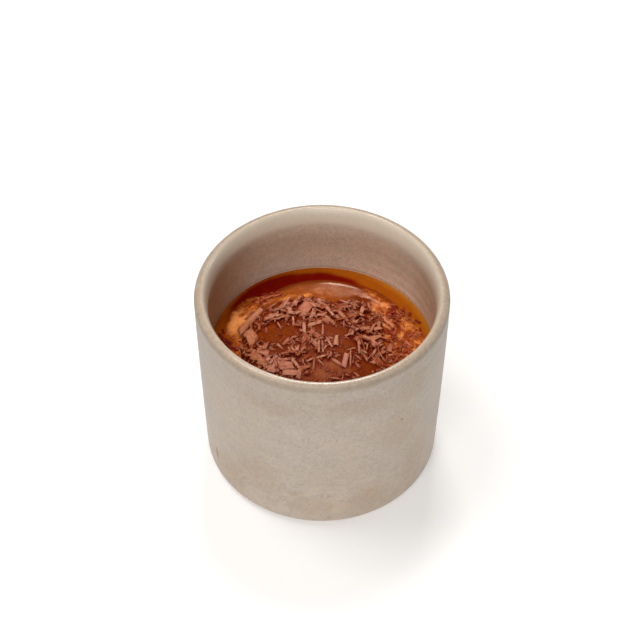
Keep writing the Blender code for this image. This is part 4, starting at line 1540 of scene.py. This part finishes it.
def light_room(sky):
    """Even light from all round."""
    world = bpy.data.worlds.new("studio")
    world.use_nodes = True
    backdrop = world.node_tree.nodes["Background"]
    backdrop.inputs["Color"].default_value = (1.0, 0.99, 0.98, 1.0)
    backdrop.inputs["Strength"].default_value = sky
    bpy.context.scene.world = world


def add_camera(settings):
    """A camera in front of the cup that looks down at it."""
    lens = bpy.data.cameras.new("camera")
    lens.lens = settings.lens
    lens.sensor_width = 36.0
    lens.clip_start = 0.01
    camera = bpy.data.objects.new("camera", lens)
    bpy.context.scene.collection.objects.link(camera)
    rise = settings.view_elevation
    away = Vector((0, -math.cos(rise), math.sin(rise)))
    aim = Vector((settings.view_aside, 0, settings.view_height))
    turn = away.to_track_quat("Z", "Y").to_matrix().to_4x4()
    turn = turn @ Matrix.Rotation(settings.view_roll, 4, "Z")
    camera.matrix_world = Matrix.Translation(aim + away * settings.view_distance) @ turn
    bpy.context.scene.camera = camera


class AFFOGATO_OT_stage(bpy.types.Operator):
    """Set up the floor, the lights and the camera"""

    bl_idname = "affogato.stage"
    bl_label = "Stage"

    def execute(self, context):
        settings = context.scene.affogato_stage
        context.scene.view_settings.view_transform = "Standard"
        lay_floor(settings.floor_glow)
        light_room(settings.sky)
        warm, cream, cool = (1.0, 0.985, 0.965), (1.0, 0.98, 0.95), (0.97, 0.99, 1.0)
        add_light("front", (-0.06, -1.0, 0.12), 1.2, 0.12, settings.front, warm)
        add_light("over", (-0.14, -0.72, 0.72), 1.1, 0.6, settings.over, warm)
        add_light("top", (-0.40, 0.10, 1.0), 0.9, 0.35, settings.top, cream)
        add_light("back", (0.03, 0.44, 0.90), 0.9, 0.20, settings.back, cream)
        add_light("side", (1.0, 0.36, 0.04), 1.1, 0.25, settings.side, cool)
        add_camera(settings)
        return {"FINISHED"}


class AFFOGATO_PT_panel(bpy.types.Panel):
    """Lists the steps and their settings in the sidebar"""

    bl_label = "Affogato"
    bl_idname = "AFFOGATO_PT_panel"
    bl_space_type = "VIEW_3D"
    bl_region_type = "UI"
    bl_category = "Affogato"

    def draw(self, context):
        for name, _, operators in GROUPS:
            box = self.layout.box()
            group = getattr(context.scene, name)
            for key in group.__annotations__:
                box.prop(group, key)
            for operator in operators:
                box.operator(operator.bl_idname)


GROUPS = (
    ("affogato_stage", StageSettings, (AFFOGATO_OT_stage,)),
    ("affogato_cup", CupSettings, (AFFOGATO_OT_cup,)),
    ("affogato_coffee", CoffeeSettings, (AFFOGATO_OT_coffee,)),
    ("affogato_scoop", ScoopSettings, (AFFOGATO_OT_scoop,)),
    ("affogato_shavings", ShavingSettings, (AFFOGATO_OT_shavings, AFFOGATO_OT_soaked)),
)


def register():
    for name, settings, operators in GROUPS:
        bpy.utils.register_class(settings)
        setattr(bpy.types.Scene, name, bpy.props.PointerProperty(type=settings))
        for operator in operators:
            bpy.utils.register_class(operator)
    bpy.utils.register_class(AFFOGATO_PT_panel)


def unregister():
    bpy.utils.unregister_class(AFFOGATO_PT_panel)
    for name, settings, operators in reversed(GROUPS):
        for operator in operators:
            bpy.utils.unregister_class(operator)
        delattr(bpy.types.Scene, name)
        bpy.utils.unregister_class(settings)


def main():
    register()
    bpy.ops.affogato.stage()
    bpy.ops.affogato.cup()
    bpy.ops.affogato.coffee()
    bpy.ops.affogato.scoop()
    bpy.ops.affogato.shavings()
    bpy.ops.affogato.soaked()


if __name__ == "__main__":
    main()
